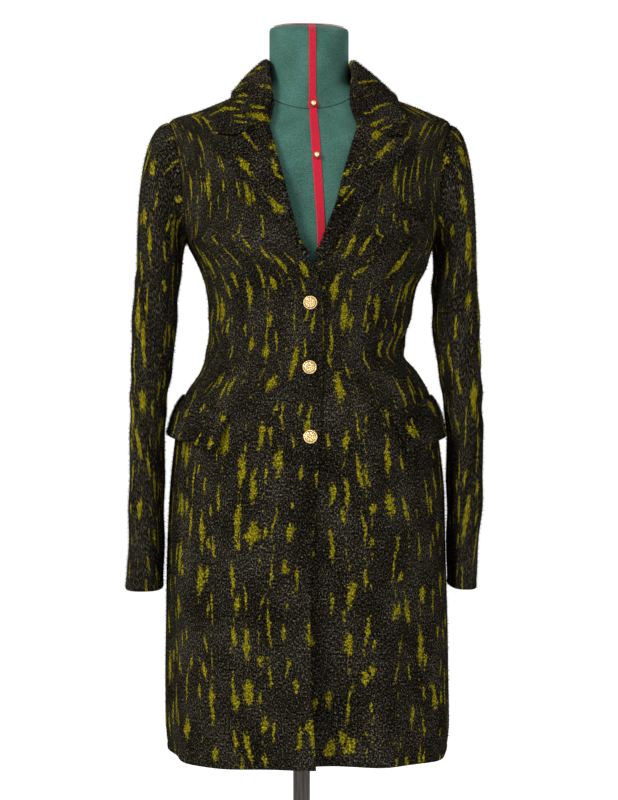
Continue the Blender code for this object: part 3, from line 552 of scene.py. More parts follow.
def form_inset(angle, height):
    """How far the form lies inside the cloth's outer face."""
    near = CLOTH + 1.0
    waist = 4.5 * (1 - ramp(height, 1225, 1300))
    middle = 8.0 * bump(np.abs(angle), 0.0, 0.45) * (1 - ramp(height, 1240, 1345))
    hem = 4.0 * (1 - ramp(height, 880, 1000))
    shoulder = 2.5 * bump(height, SHOULDER_TIP, 16)
    return near + waist + middle + hem + shoulder


def form_point(angle, height):
    """Point of the form's torso and its outward direction."""
    turn = 0.004
    lift = 0.5
    across = body_point(angle + turn, height, False) - body_point(angle - turn, height, False)
    upward = body_point(angle, height + lift, False) - body_point(angle, height - lift, False)
    out = unit(np.cross(across, upward))
    inset = np.asarray(form_inset(angle, height))[..., None]
    bust = np.asarray(3.0 * bump(np.abs(angle), 0.72, 0.34) * bump(height, 1214, 44))[..., None]
    return body_point(angle, height, False) - out * (inset - bust), out


def crown_point(turn, share):
    """Point of the form above the chest: share 0 at its last level ring, 1 at the neck seam."""
    below = body_point(turn, CHEST, False)
    base = np.where(np.cos(turn) > 0, NECK_BASE_FRONT, NECK_BASE_BACK)
    square = np.where(np.cos(turn) > 0, NECK_BASE_SQUARE, 0.0)
    wide = NECK_BASE_SIDE * np.sin(turn) * (1 + square * np.cos(turn) ** 2)
    deep = base * np.cos(turn) * (1 + square * np.sin(turn) ** 2)
    x = below[..., 0] * (1 - share) + wide * share
    y = below[..., 1] * (1 - share) - deep * share
    angle, height = plan_to_body(x, y)
    return form_point(angle, height)


def neck_points(turn, level):
    """Ring of the neck: level 0 at its seam, 1 at its top edge, up to 2 across the cap."""
    column = stack(NECK_RADIUS * np.sin(turn), -NECK_RADIUS * np.cos(turn), 0 * turn)
    if level <= 1:
        base = crown_point(turn, 1.0)[0]
        top = NECK_TOP + NECK_TILT * column[:, 1]
        height = base[:, 2] + SEAM + (top - base[:, 2] - SEAM) * level
        hold = 1 - (1 - min(1.0, level / 0.22)) ** 2
        ring = base * (1 - hold) + column * hold
        ring[:, 2] = height
        return ring
    share = level - 1
    ring = column * (1 - share)
    ring[:, 2] = NECK_TOP + NECK_TILT * ring[:, 1] + NECK_CROWN * (1 - (1 - share) ** 4)
    return ring


def neck_face(turn, level):
    """Point and outward direction on the neck at one angle and level."""
    beside = neck_points(np.array([turn - 0.02, turn, turn + 0.02]), level)
    above = neck_points(np.array([turn]), level + 0.01)
    out = unit(np.cross(beside[2] - beside[0], above[0] - beside[1]))
    return beside[1], out


def tape_point(across, level):
    """Point and outward direction on the form's front; level 0 to 1 up the chest, 1 to 3 the neck."""
    if level <= 1:
        seam = crown_point(np.array([0.02]), 1.0)[0][0, 2] + 3.0
        height = TAPE_BOTTOM + (seam - TAPE_BOTTOM) * level
        place = across + TAPE.at("across", height)
        angle = math.asin(place / float(BODY.at("left", height)))
        return form_point(angle, height)
    radius = NECK_RADIUS * min(1.0, 3.0 - level)
    turn = math.asin((across + TAPE.at("across", NECK_SIDE)) / radius)
    return neck_face(turn, level - 1)


def path_lengths(grid, axis):
    """Distance along one axis of a grid of points, from its start, in millimetres."""
    steps = np.linalg.norm(np.diff(grid, axis=axis), axis=-1)
    total = np.cumsum(steps, axis=axis)
    start = np.zeros_like(np.take(total, [0], axis=axis))
    return np.concatenate((start, total), axis=axis)


def edge_distance(grid, sides="first last low high"):
    """How far each point of a grid lies from the nearest of its named sides."""
    across = path_lengths(grid, 1)
    along = path_lengths(grid, 0)
    found = {
        "first": across,
        "last": across[:, -1:] - across,
        "low": along,
        "high": along[-1:] - along,
    }
    return np.min([found[side] for side in sides.split()], axis=0)


def rounding(distance, radius):
    """Share of a wall's thickness that is left near its rounded edge."""
    near = np.clip(1 - distance / radius, 0, 1)
    return np.sqrt(np.maximum(1 - near * near, 0.16))


def rolled_edge(distance, height, dip, far=10.0):
    """Raised roll beside a sewn edge and the dip behind it."""
    return height * bump(distance, 4.2, 2.6) - dip * bump(distance, far, 3.0)


def columns_of(across, along):
    """Grain from two arrays: place across the grain and place along it."""
    return np.stack(np.broadcast_arrays(across, along), axis=-1)


def like_rows(direction, rows, plain=0):
    """One row of directions for each row of a grid; the first few say nothing."""
    hint = np.repeat(direction[None], len(rows), axis=0)
    hint[:plain] = 0.0
    return hint


def full_turn(count):
    """Angles all round, evenly spaced."""
    return np.linspace(-math.pi, math.pi, count, endpoint=False)


def eased(count, fine=3):
    """Shares from 0 to 1, closer together at both ends."""
    middle = np.linspace(0, 1, count)
    step = middle[1]
    ends = step * np.array([0.06, 0.18, 0.42][:fine])
    return np.concatenate(([0.0], ends, middle[1:-1], 1 - ends[::-1], [1.0]))


def panel_rows():
    """Fine rows of fronts and backs, in step with the armhole's points."""
    below = np.concatenate((HEM + np.array([0.0, 0.4, 1.1, 2.2]), np.linspace(HEM + 5, UNDERARM, 135)))
    turn = np.linspace(math.pi, 0, 49)[1:]
    middle = (UNDERARM + SHOULDER_TIP) / 2
    armhole = middle + (SHOULDER_TIP - UNDERARM) / 2 * np.cos(turn)
    shoulder = np.linspace(SHOULDER_TIP, NECK_SIDE - 3, 14)[1:]
    return np.concatenate((below, armhole, shoulder, NECK_SIDE - np.array([1.8, 0.9, 0.3, 0.0])))


def placed(name, data):
    """Object of some data, in the scene."""
    thing = bpy.data.objects.new(name, data)
    bpy.context.scene.collection.objects.link(thing)
    return thing


def mesh_object(name, points, faces, grain=None):
    """Object at the origin from points in the figure's millimetres."""
    points = points * MM
    points[:, 0] += FIGURE_SHIFT * MM
    data = bpy.data.meshes.new(name)
    data.from_pydata(points.tolist(), [], faces)
    if grain is not None:
        corners = np.empty(len(data.loops), np.int32)
        data.loops.foreach_get("vertex_index", corners)
        layer = data.uv_layers.new(name="grain")
        layer.uv.foreach_set("vector", grain[corners].astype(np.float32).ravel())
    data.shade_smooth()
    return placed(name, data)


def grid_faces(rows, columns, start=0):
    """Quads of a grid of points, as an array."""
    index = start + np.arange(rows * columns).reshape(rows, columns)
    return np.stack((index[:-1, :-1], index[:-1, 1:], index[1:, 1:], index[1:, :-1]), axis=-1).reshape(-1, 4)


def faces_outwards(points, faces, outward):
    """True if the quads of a grid turn their fronts the way its outward directions point."""
    edge = points[faces[:, 1]] - points[faces[:, 0]]
    rise = points[faces[:, 3]] - points[faces[:, 0]]
    return float(np.sum(np.cross(edge, rise) * outward[faces[:, 0]])) > 0


HOSTS = {}


def cloth_wall(name, outer, outward, thickness, grain):
    """Closed wall of cloth behind a grid of outer points; its outer face also carries nap."""
    rows, columns = outer.shape[:2]
    count = rows * columns
    inner = outer - outward * thickness[..., None]
    points = np.concatenate((outer.reshape(-1, 3), inner.reshape(-1, 3)))
    front_faces = grid_faces(rows, columns)
    back_faces = grid_faces(rows, columns, count)[:, ::-1]
    index = np.arange(count).reshape(rows, columns)
    rim = np.concatenate((index[0], index[1:, -1], index[-1, -2::-1], index[-2:0:-1, 0]))
    after = np.roll(rim, -1)
    rim_faces = np.stack((after, rim, rim + count, after + count), axis=-1)
    right_way = faces_outwards(points, front_faces, outward.reshape(-1, 3))
    faces = np.concatenate((front_faces, back_faces, rim_faces))
    if not right_way:
        faces = faces[:, ::-1]
        front_faces = front_faces[:, ::-1]
    flat = grain.reshape(-1, 2) * MM
    HOSTS[name] = (outer.reshape(-1, 3), front_faces, flat)
    return mesh_object(name, points, faces.tolist(), np.concatenate((flat, flat)))


def cut_size(outer):
    """Width, length and area, in metres, of the cloth that a grid of points was cut from."""
    width = float(path_lengths(outer, 1)[:, -1].max()) * MM
    length = float(path_lengths(outer, 0)[-1].max()) * MM
    edge = outer[:-1, 1:] - outer[:-1, :-1]
    rise = outer[1:, :-1] - outer[:-1, :-1]
    area = float(np.linalg.norm(np.cross(edge, rise), axis=-1).sum()) * MM * MM
    return (round(width, 4), round(length, 4)), round(min(area, 0.98 * width * length), 6)


def wear(piece, finish, slot, *nodes):
    """Gives a finished piece its material and its body, and hides the solids that it stands for."""
    piece.data.materials.clear()
    piece.data.materials.append(finish)
    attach(piece, "root")
    if nodes:
        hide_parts(*nodes)


def declare(piece, outer, held, *rests_on):
    """States the cut of one piece of cloth."""
    flat, area = cut_size(outer)
    print("cut of", piece.name, flat, area)


def sew(piece, name, outer, held, *rests_on):
    """Gives a finished piece of the coat its wool and states its cut."""
    wear(piece, coat_cloth(), "wool", name)
    declare(piece, outer, held, *rests_on)


def front_of(side):
    """Node of the front on one side."""
    return "front_left" if side > 0 else "front_right"


class Value:
    """A node socket that Python's operators work on, each of which adds its Math node."""

    def __init__(self, finish, socket):
        self.finish = finish
        self.socket = socket

    def math(self, operation, *others):
        """One Math node on this value and others."""
        places = dict(enumerate((self,) + others))
        return self.finish.value("ShaderNodeMath", {"operation": operation}, places)

    def after(self, operation, first):
        """One Math node with another value before this one."""
        return self.finish.value("ShaderNodeMath", {"operation": operation}, {0: first, 1: self})

    def __add__(self, other):
        return self.math("ADD", other)

    def __radd__(self, other):
        return self.after("ADD", other)

    def __sub__(self, other):
        return self.math("SUBTRACT", other)

    def __rsub__(self, other):
        return self.after("SUBTRACT", other)

    def __mul__(self, other):
        return self.math("MULTIPLY", other)

    def __rmul__(self, other):
        return self.after("MULTIPLY", other)

    def __truediv__(self, other):
        return self.math("DIVIDE", other)

    def __rtruediv__(self, other):
        return self.after("DIVIDE", other)

    def __abs__(self):
        return self.math("ABSOLUTE")

    def floor(self):
        """Whole part."""
        return self.math("FLOOR")

    def sine(self):
        """Sine of the value in radians."""
        return self.math("SINE")

    def larger(self, other):
        """The larger of two values."""
        return self.math("MAXIMUM", other)

    def above(self, limit):
        """1 where the value is above a limit, 0 elsewhere."""
        return self.math("GREATER_THAN", limit)

    def soft(self, low, high):
        """0 below low, 1 above high, and a soft rise between."""
        places = {"Value": self, "From Min": low, "From Max": high, "To Min": 0.0, "To Max": 1.0}
        settings = {"interpolation_type": "SMOOTHSTEP"}
        return self.finish.value("ShaderNodeMapRange", settings, places)


class Finish:
    """Node tree of one material, with the few ways of adding nodes that the finishes use."""

    def __init__(self, name, **constants):
        self.material = bpy.data.materials.new(name)
        self.material.use_nodes = True
        self.tree = self.material.node_tree
        self.shader = self.tree.nodes["Principled BSDF"]
        for socket, value in constants.items():
            self.shader.inputs[socket.replace("_", " ")].default_value = value

    def node(self, kind, settings=None, places=None):
        """Adds a node: its settings first, then the values or links of its sockets."""
        node = self.tree.nodes.new(kind)
        for name, setting in (settings or {}).items():
            if name == "stops":
                self.set_stops(node.color_ramp, setting)
            else:
                setattr(node, name, setting)
        for place, given in (places or {}).items():
            self.feed(node.inputs[place], given)
        return node

    def set_stops(self, ramp, stops):
        """Colour stops of a ramp, as (place, colour)."""
        while len(ramp.elements) < len(stops):
            ramp.elements.new(0.5)
        for element, (place, colour) in zip(ramp.elements, stops):
            element.position = place
            element.color = (*colour, 1.0)

    def feed(self, socket, given):
        """Links a value to a socket, or sets a constant on it."""
        if isinstance(given, Value):
            self.tree.links.new(given.socket, socket)
        else:
            socket.default_value = given

    def value(self, kind, settings=None, places=None, output=0):
        """Adds a node and gives one of its outputs."""
        return Value(self, self.node(kind, settings, places).outputs[output])

    def joined(self, x, y, z=0.0):
        """A vector from three values."""
        return self.value("ShaderNodeCombineXYZ", None, {0: x, 1: y, 2: z})

    def parted(self, vector):
        """The three values of a vector."""
        node = self.node("ShaderNodeSeparateXYZ", None, {0: vector})
        return [Value(self, node.outputs[place]) for place in range(3)]

    def grain(self):
        """Place on the cloth in millimetres: across the grain and along it."""
        vector = self.value("ShaderNodeAttribute", {"attribute_name": "grain"}, None, "Vector")
        across, along, _ = self.parted(vector)
        return across * 1000.0, along * 1000.0

    def noise(self, x, y, z=0.0, detail=2.0, roughness=0.5):
        """Smooth noise, 0 to 1, whose bumps are about one unit of x and y wide."""
        places = {"Vector": self.joined(x, y, z), "Scale": 1.0, "Detail": detail,
                  "Roughness": roughness}
        return self.value("ShaderNodeTexNoise", None, places)

    def chances(self, x, y, seed):
        """Three random numbers for one cell of a pattern."""
        places = {"Vector": self.joined(x, y, seed)}
        colour = self.value("ShaderNodeTexWhiteNoise", {"noise_dimensions": "3D"}, places, "Color")
        return self.parted(colour)

    def place(self):
        """Place in the object, in metres: x, y and z."""
        return self.parted(self.value("ShaderNodeTexCoord", None, None, "Object"))

    def show(self, socket, given):
        """Gives one socket of the shader its value."""
        self.feed(self.shader.inputs[socket], given)

    def mixed(self, share, first, second):
        """Colour between two colours."""
        settings = {"data_type": "RGBA", "clamp_factor": True}
        return self.value("ShaderNodeMix", settings, {0: share, 6: first, 7: second}, 2)

    def ramped(self, share, *stops):
        """Colour ramp."""
        return self.value("ShaderNodeValToRGB", {"stops": stops}, {0: share}, "Color")

    def bumped(self, height, strength, distance):
        """Raises the surface by a height."""
        places = {"Height": height, "Strength": strength, "Distance": distance}
        normal = self.value("ShaderNodeBump", None, places)
        self.show("Normal", normal)


def solid(colour):
    """A colour with full cover, for a socket."""
    return (*tuple(colour), 1.0)


def streak_column(finish, place, ragged, fine, wide, tall, seed, share, fat):
    """One family of broken streaks along the grain: dashes in columns, some joined by a thin trail."""
    across, along = place
    x = (across + seed * 7.3) / wide
    column = x.floor()
    sideways = (x - column - 0.5) * wide
    lift, sway, tone = finish.chances(column, 0.5, seed)
    y = along / tall + lift * 9.7
    row = y.floor()
    lengthways = (y - row - 0.5) * tall
    first, second, third = finish.chances(column, row, seed + 0.37)
    shift = (sway - 0.5) * wide * 0.5 + (first - 0.5) * wide * 0.22
    off = sideways + ragged[0] - shift - lengthways * (first - 0.5) * 0.3
    up = lengthways + ragged[1] - (second - 0.5) * tall * 0.25
    swell = finish.noise(along / 12.0, column * 3.7, seed, 1.0) * 2.0 - 0.1
    half_wide = (second * second * fat + 1.9) * swell.larger(0.5)
    half_tall = tall * (third * 0.34 + 0.14)
    over = off / half_wide
    past = up / half_tall
    inside = 1.0 - over * over - past * past
    dash = (inside * 0.9 + (fine - 0.5) * 5.0 - 0.05).soft(0.0, 0.45)
    thread = finish.noise(along / 10.0, column * 5.1, seed + 4.0, 1.0).soft(0.53, 0.60)
    trail = (0.9 + (fine - 0.5) * 9.0 - abs(off)).soft(0.0, 0.9) * thread * 0.75
    shown = third.math("LESS_THAN", share)
    runs = tone.math("LESS_THAN", share * 0.8)
    return (dash * shown).larger(trail * runs)


def wool(coat):
    """Brushed dark wool: a melange of black, brown and grey fibres with broken yellow streaks."""
    finish = Finish("streaked_wool", Roughness=0.95, Specular_IOR_Level=0.0)
    across, along = finish.grain()
    wander = finish.noise(across / 16.0, along / 24.0, 1.0, 1.0) - 0.5
    curl = finish.noise(across / 5.0, along / 6.0, 2.0, 2.0) - 0.5
    curl_up = finish.noise(across / 5.0, along / 6.0, 6.0, 2.0) - 0.5
    fine = finish.noise(across / 2.7, along / 3.6, 3.0, 3.0, 0.65)
    ragged = (wander * 9.0 + curl * 5.0, curl_up * 12.0)
    place = (across, along)
    wide = coat.streak_spacing * 1000.0
    tall = coat.streak_length * 1000.0
    main = streak_column(finish, place, ragged, fine, wide, tall, seed=1.0, share=0.82, fat=5.9)
    minor = streak_column(finish, place, ragged, fine, wide * 1.31, tall * 0.62,
                          seed=5.0, share=0.56, fat=2.9)
    streak = main.larger(minor)

    loops = finish.noise(across / 1.9, along / 2.3, 8.0, 2.0, 0.65)
    yellow = finish.ramped(loops, (0.36, coat.streak_dark), (0.52, coat.streak_colour),
                           (0.68, coat.streak_light))
    fibres = finish.noise(across / 1.7, along / 2.6, 9.0, 3.0, 0.78)
    cloudy = finish.noise(across / 45.0, along / 60.0, 11.0, 2.0)
    tone = fibres + (cloudy - 0.5) * 0.14
    melange = finish.ramped(tone, (0.40, coat.black_fibre), (0.50, coat.wool_colour),
                            (0.58, coat.brown_fibre), (0.67, coat.grey_fibre))
    colour = finish.mixed(streak, melange, yellow)
    finish.show("Base Color", colour)
    height = fibres * 0.6 + loops * streak * 0.5 + streak * 0.4 + curl * 0.5
    finish.bumped(height, 0.75, 0.0009)
    return finish.material


def cover_cloth(form):
    """Plain green cotton of the form, with its fine weave and a few old pin holes."""
    finish = Finish("form_cover", Roughness=0.85, Specular_IOR_Level=0.12)
    across, along = finish.grain()
    uneven = finish.noise(across / 0.9, along / 7.0, 1.0, 1.0) - 0.5
    warp = ((across + uneven * 0.3) * (2 * math.pi / WEAVE_PITCH)).sine()
    weft = ((along + uneven * 0.4) * (2 * math.pi / WEAVE_PITCH)).sine()
    weave = warp * weft * 0.5 + 0.5
    slub = finish.noise(across / 11.0, along / 0.8, 3.0, 2.0)
    dull = finish.noise(across / 38.0, along / 46.0, 5.0, 3.0)
    grain_tone = finish.noise(across / 1.6, along / 1.6, 9.0, 3.0, 0.7)
    tone = weave * 0.18 + slub * 0.35 + dull * 0.45 + (grain_tone - 0.5) * 1.1 + 0.07
    colour = finish.ramped(tone, (0.36, form.cover_shade), (0.58, form.cover_colour),
                           (0.80, form.cover_light))
    cell_x = (across / PIN_HOLE_CELL).floor()
    cell_y = (along / PIN_HOLE_CELL).floor()
    first, second, third = finish.chances(cell_x, cell_y, 7.0)
    near_x = across - (cell_x + first * 0.7 + 0.15) * PIN_HOLE_CELL
    near_y = along - (cell_y + second * 0.7 + 0.15) * PIN_HOLE_CELL
    distance = (near_x * near_x + near_y * near_y).math("SQRT")
    hole = (PIN_HOLE_RADIUS - distance).soft(0.0, 0.4)
    hole = hole * third.above(0.86)
    colour = finish.mixed(hole, colour, solid((0.004, 0.010, 0.009)))
    finish.show("Base Color", colour)
    finish.bumped(weave * 0.6 + slub * 0.5 - hole * 2.0, 0.35, 0.0003)
    return finish.material


def tape_cloth(form):
    """Narrow red twill tape with firm edges."""
    finish = Finish("red_twill_tape", Roughness=0.7, Specular_IOR_Level=0.12)
    across, along = finish.grain()
    rib = ((along + abs(across) * 0.9) * (2 * math.pi / TWILL_PITCH)).sine() * 0.5 + 0.5
    edge = abs(across).soft(TAPE_WIDTH * 0.36, TAPE_WIDTH * 0.44)
    uneven = finish.noise(across / 1.2, along / 6.0, 2.0, 2.0)
    tone = rib * 0.3 + uneven * 0.5 + edge * 0.15
    colour = finish.ramped(tone, (0.15, form.tape_shade), (0.45, form.tape_colour),
                           (0.85, form.tape_light))
    finish.show("Base Color", colour)
    finish.bumped(rib * (1.0 - edge) + edge * 0.9, 0.3, 0.0002)
    return finish.material


def gilt(name, light, dark):
    """Polished gilt metal, darker where its relief is low; the grain holds that depth."""
    finish = Finish(name, Metallic=1.0)
    depth, _ = finish.grain()
    place = finish.value("ShaderNodeTexCoord", None, None, "Object")
    places = {"Vector": place, "Scale": 420.0, "Detail": 3.0}
    spots = finish.value("ShaderNodeTexNoise", None, places)
    low = (depth + (spots - 0.5) * 0.5).soft(0.25, 0.95)
    finish.show("Base Color", finish.mixed(low, solid(light), solid(dark)))
    finish.show("Roughness", 0.20 + spots * 0.12 + low * 0.35)
    finish.bumped(spots, 0.08, 0.0002)
    return finish.material


def stained_wood(form):
    """Dark stained wood whose grain runs up the pole and across the foot."""
    finish = Finish("dark_stained_wood", Coat_Roughness=0.35, Specular_IOR_Level=0.4)
    x, y, z = finish.place()
    on_foot = z.math("LESS_THAN", FOOT_HEIGHT * MM + 0.0002)
    lengthways = z * (1.0 - on_foot) + y * on_foot
    sideways = y * (1.0 - on_foot) + z * on_foot
    pores = finish.noise(x * 900.0 + sideways * 500.0, lengthways * 28.0, sideways * 600.0, 3.0, 0.6)
    figure = finish.noise(x * 130.0, lengthways * 7.0, sideways * 130.0, 3.0)
    ring = ((figure * 22.0).sine() * 0.5 + 0.5) * 0.4 + pores * 0.6
    colour = finish.ramped(ring, (0.30, form.wood_shade), (0.52, form.wood_colour),
                           (0.78, form.wood_light))
    worn = finish.noise(x * 60.0, y * 60.0, z * 9.0, 3.0)
    finish.show("Base Color", colour)
    finish.show("Roughness", 0.42 + worn * 0.3)
    finish.bumped(ring, 0.3, 0.0004)
    return finish.material


def thread(name, colour):
    """Twisted sewing thread."""
    finish = Finish(name, Roughness=0.7, Sheen_Weight=0.3, Sheen_Roughness=0.4)
    x, y, z = finish.place()
    twist = ((x + y + z) * 9000.0).sine() * 0.5 + 0.5
    colour = finish.mixed(twist, solid(colour), solid([value * 0.45 for value in colour]))
    finish.show("Base Color", colour)
    finish.bumped(twist, 0.3, 0.0002)
    return finish.material


def pale_floor(stage):
    """Plain pale floor with a trace of unevenness."""
    finish = Finish("pale_floor", Specular_IOR_Level=0.2)
    x, y, _ = finish.place()
    cloud = finish.noise(x * 3.0, y * 3.0, 0.0, 3.0)
    light = solid(stage.floor_colour)
    dark = solid([value * 0.985 for value in stage.floor_colour])
    finish.show("Base Color", finish.mixed(cloud, light, dark))
    finish.show("Roughness", 0.75 + cloud * 0.1)
    return finish.material


def colour_property(name, description, default, size=4):
    """A colour that a user may change."""
    return bpy.props.FloatVectorProperty(name=name, description=description, subtype="COLOR",
                                         size=size, min=0.0, max=1.0, default=default)


class CoatLook(bpy.types.PropertyGroup):
    """Sizes and colours of the coat's cloth."""

    wool_colour: colour_property("Wool", "Main colour of the wool", (0.0044, 0.0037, 0.0022), 3)
    black_fibre: colour_property("Black fibres", "Darkest fibres", (0.0004, 0.0003, 0.0002), 3)
    brown_fibre: colour_property("Brown fibres", "Middle fibres", (0.0185, 0.0160, 0.0105), 3)
    grey_fibre: colour_property("Grey fibres", "Palest fibres", (0.105, 0.098, 0.080), 3)
    streak_colour: colour_property("Streaks", "Main colour of the streaks", (0.108, 0.088, 0.0022), 3)
    streak_light: colour_property("Streak lights", "Palest loops", (0.28, 0.245, 0.0100), 3)
    streak_dark: colour_property("Streak shade", "Darkest loops", (0.018, 0.014, 0.0008), 3)
    streak_spacing: bpy.props.FloatProperty(
        name="Streak spacing", description="Distance between columns of streaks",
        default=0.024, min=0.005, unit="LENGTH")
    streak_length: bpy.props.FloatProperty(
        name="Streak length", description="Height of one step of a column of streaks",
        default=0.066, min=0.01, unit="LENGTH")
    nap_length: bpy.props.FloatProperty(
        name="Nap length", description="Length of the raised fibres",
        default=0.0026, min=0.0, unit="LENGTH")
    nap_count: bpy.props.IntProperty(
        name="Nap count", description="Raised fibres on each group of pieces",
        default=26000, min=0)


class FormLook(bpy.types.PropertyGroup):
    """Colours of the dress form, its tapes, metal and wood."""

    cover_colour: colour_property("Cover", "Colour of the form's cloth", (0.029, 0.078, 0.062), 3)
    cover_shade: colour_property("Cover shade", "Darker threads", (0.013, 0.040, 0.032), 3)
    cover_light: colour_property("Cover light", "Lighter threads", (0.052, 0.128, 0.105), 3)
    tape_colour: colour_property("Tape", "Colour of the marking tape", (0.33, 0.0050, 0.019), 3)
    tape_shade: colour_property("Tape shade", "Darker ribs", (0.19, 0.0025, 0.010), 3)
    tape_light: colour_property("Tape light", "Lighter ribs", (0.46, 0.0120, 0.040), 3)
    gilt_light: colour_property("Gilt", "Raised metal", (0.76, 0.54, 0.26), 3)
    gilt_dark: colour_property("Gilt shade", "Metal in the hollows", (0.10, 0.055, 0.015), 3)
    wood_colour: colour_property("Wood", "Colour of pole and foot", (0.026, 0.018, 0.013), 3)
    wood_shade: colour_property("Wood shade", "Dark grain", (0.008, 0.006, 0.004), 3)
    wood_light: colour_property("Wood light", "Pale grain", (0.065, 0.047, 0.033), 3)


class StageLook(bpy.types.PropertyGroup):
    """Floor, lights and camera."""

    floor_colour: colour_property("Floor", "Colour of the floor", (0.97, 0.97, 0.97), 3)
    camera_distance: bpy.props.FloatProperty(
        name="Camera distance", description="From the camera to the coat",
        default=2.2, min=0.5, unit="LENGTH")
    camera_turn: bpy.props.FloatProperty(
        name="Camera turn", description="Angle of the view round the coat",
        default=math.radians(-3.0), subtype="ANGLE")
    key_power: bpy.props.FloatProperty(
        name="Main light", description="Power of the main soft light", default=125.0, unit="POWER")
    fill_power: bpy.props.FloatProperty(
        name="Fill light", description="Power of the fill light", default=20.0, unit="POWER")
    sky: bpy.props.FloatProperty(
        name="Surroundings", description="Brightness of the pale surroundings", default=1.04)


MATERIALS = {}


def material(name, maker, *given):
    """Material of one name, made once."""
    if name not in MATERIALS:
        MATERIALS[name] = maker(*given)
    return MATERIALS[name]


def coat_cloth():
    """The coat's wool."""
    return material("wool", wool, bpy.context.scene.coat_look)


def build_front(name, edge, side):
    """One front: from its buttoned edge and lapel fold to side seam, armhole and shoulder."""
    heights = panel_rows()
    shares = eased(74)
    first, last = front_sides(heights, edge, side)
    angle = first[:, None] + (last - first)[:, None] * shares[None, :]
    height = np.repeat(heights[:, None], len(shares), axis=1)
    outer, outward = on_front(angle, height, side)
    thickness = CLOTH * rounding(edge_distance(outer), 1.5)
    free = edge_distance(outer, "first low")
    puff = 0.7 * bump(free, 4.0, 3.0) - 0.35 * bump(free, 10.0, 3.0)
    puff = puff * (1 - ramp(height, BREAK - 30, BREAK))
    outer = outer - outward * ((CLOTH - thickness) / 2 - puff)[..., None]
    grain = columns_of(side * (FRONT_CLOTH + 300 * shares), path_lengths(outer, 0))
    piece = cloth_wall(name + "_cloth", outer, outward, thickness + np.maximum(puff, 0), grain)
    sew(piece, name, outer, "draped", "form_body")


def build_back(name, side):
    """One half of the back: from the middle seam to the side seam, armhole and shoulder."""
    heights = panel_rows()
    shares = eased(70)
    opening = armhole_opening(heights, ARMHOLE_BACK_ANGLE)
    first = np.full(heights.shape, math.pi - SEAM / 2 / 140.0)
    last = math.pi / 2 + opening + SEAM / 2 / 110.0
    angle = first[:, None] + (last - first)[:, None] * shares[None, :]
    rise = back_rise(angle) * ramp(heights, SHOULDER_TIP - 20, NECK_SIDE)[:, None]
    height = heights[:, None] + rise
    outer = body_point(side * angle, height)
    outward = body_normal(side * angle, height)
    thickness = CLOTH * rounding(edge_distance(outer), 1.5)
    puff = 0.6 * bump(edge_distance(outer, "low"), 4.0, 3.0)
    outer = outer - outward * ((CLOTH - thickness) / 2 - puff)[..., None]
    grain = columns_of(side * (BACK_CLOTH + 280 * shares), path_lengths(outer, 0))
    piece = cloth_wall(name + "_cloth", outer, outward, thickness + puff, grain)
    sew(piece, name, outer, "draped", "form_body")


def about_middle(middle, outward_hint):
    """Directions at right angles to a grid of points, on the side of the hint."""
    along = np.gradient(middle, axis=0)
    across = np.gradient(middle, axis=1)
    normal = unit(np.cross(along, across))
    if float(np.sum(normal * outward_hint)) < 0:
        normal = -normal
    return normal


def leaf_wall(name, middle, hint, thickness, grain):
    """Wall of cloth about a grid of middle points."""
    outward = about_middle(middle, hint)
    outer = middle + outward * thickness[..., None] / 2
    return cloth_wall(name, outer, outward, thickness, grain), outer


def build_lapel(name, edge, side):
    """One lapel: a half turn at the fold, then the leaf, with a raised roll along its free edges."""
    shares = eased(92)
    low = BREAK + 8
    fold_height = low + (GORGE - low) * shares
    base, away, normal = roll_frame(fold_height, edge, side)
    rows = rolled(base, away, normal, np.zeros(len(shares)), 2)
    edge_height = low + (LAPEL_TIP_HEIGHT - low) * shares
    edge_across = LAPEL_EDGE.at("across", edge_height) + (0.0 if side > 0 else 1.0)
    fold_across = rows[-1][:, 0]
    leaf = eased(38)[1:]
    for out in leaf:
        across = fold_across + (side * edge_across - fold_across) * out
        straight = (edge_height - fold_height) * out
        drop = -NOTCH.at("lapel", out) - (edge_height[-1] - fold_height[-1]) * out
        height = fold_height + straight + drop * shares ** 6
        rows.append(leaf_point(across, height, out, side))
    middle = np.array(rows)
    hint = like_rows(normal, middle, ROLL_STEPS)
    free = edge_distance(middle, "high last")
    roll = rolled_edge(free, 1.5, 0.7)
    leaf_share = ramp(path_lengths(middle, 0), 14, 24)
    thickness = (DOUBLED + roll * leaf_share) * rounding(edge_distance(middle), 1.9)
    slope = math.radians(53.0)
    x = side * (middle[..., 0] - middle[0, 0, 0])
    z = middle[..., 2] - low
    along = x * math.cos(slope) + z * math.sin(slope)
    beside = z * math.cos(slope) - x * math.sin(slope)
    grain = columns_of(side * (LAPEL_CLOTH + beside), along + 31)
    piece, outer = leaf_wall(name + "_cloth", middle, hint, thickness, grain)
    sew(piece, name, outer, "folded", front_of(side))


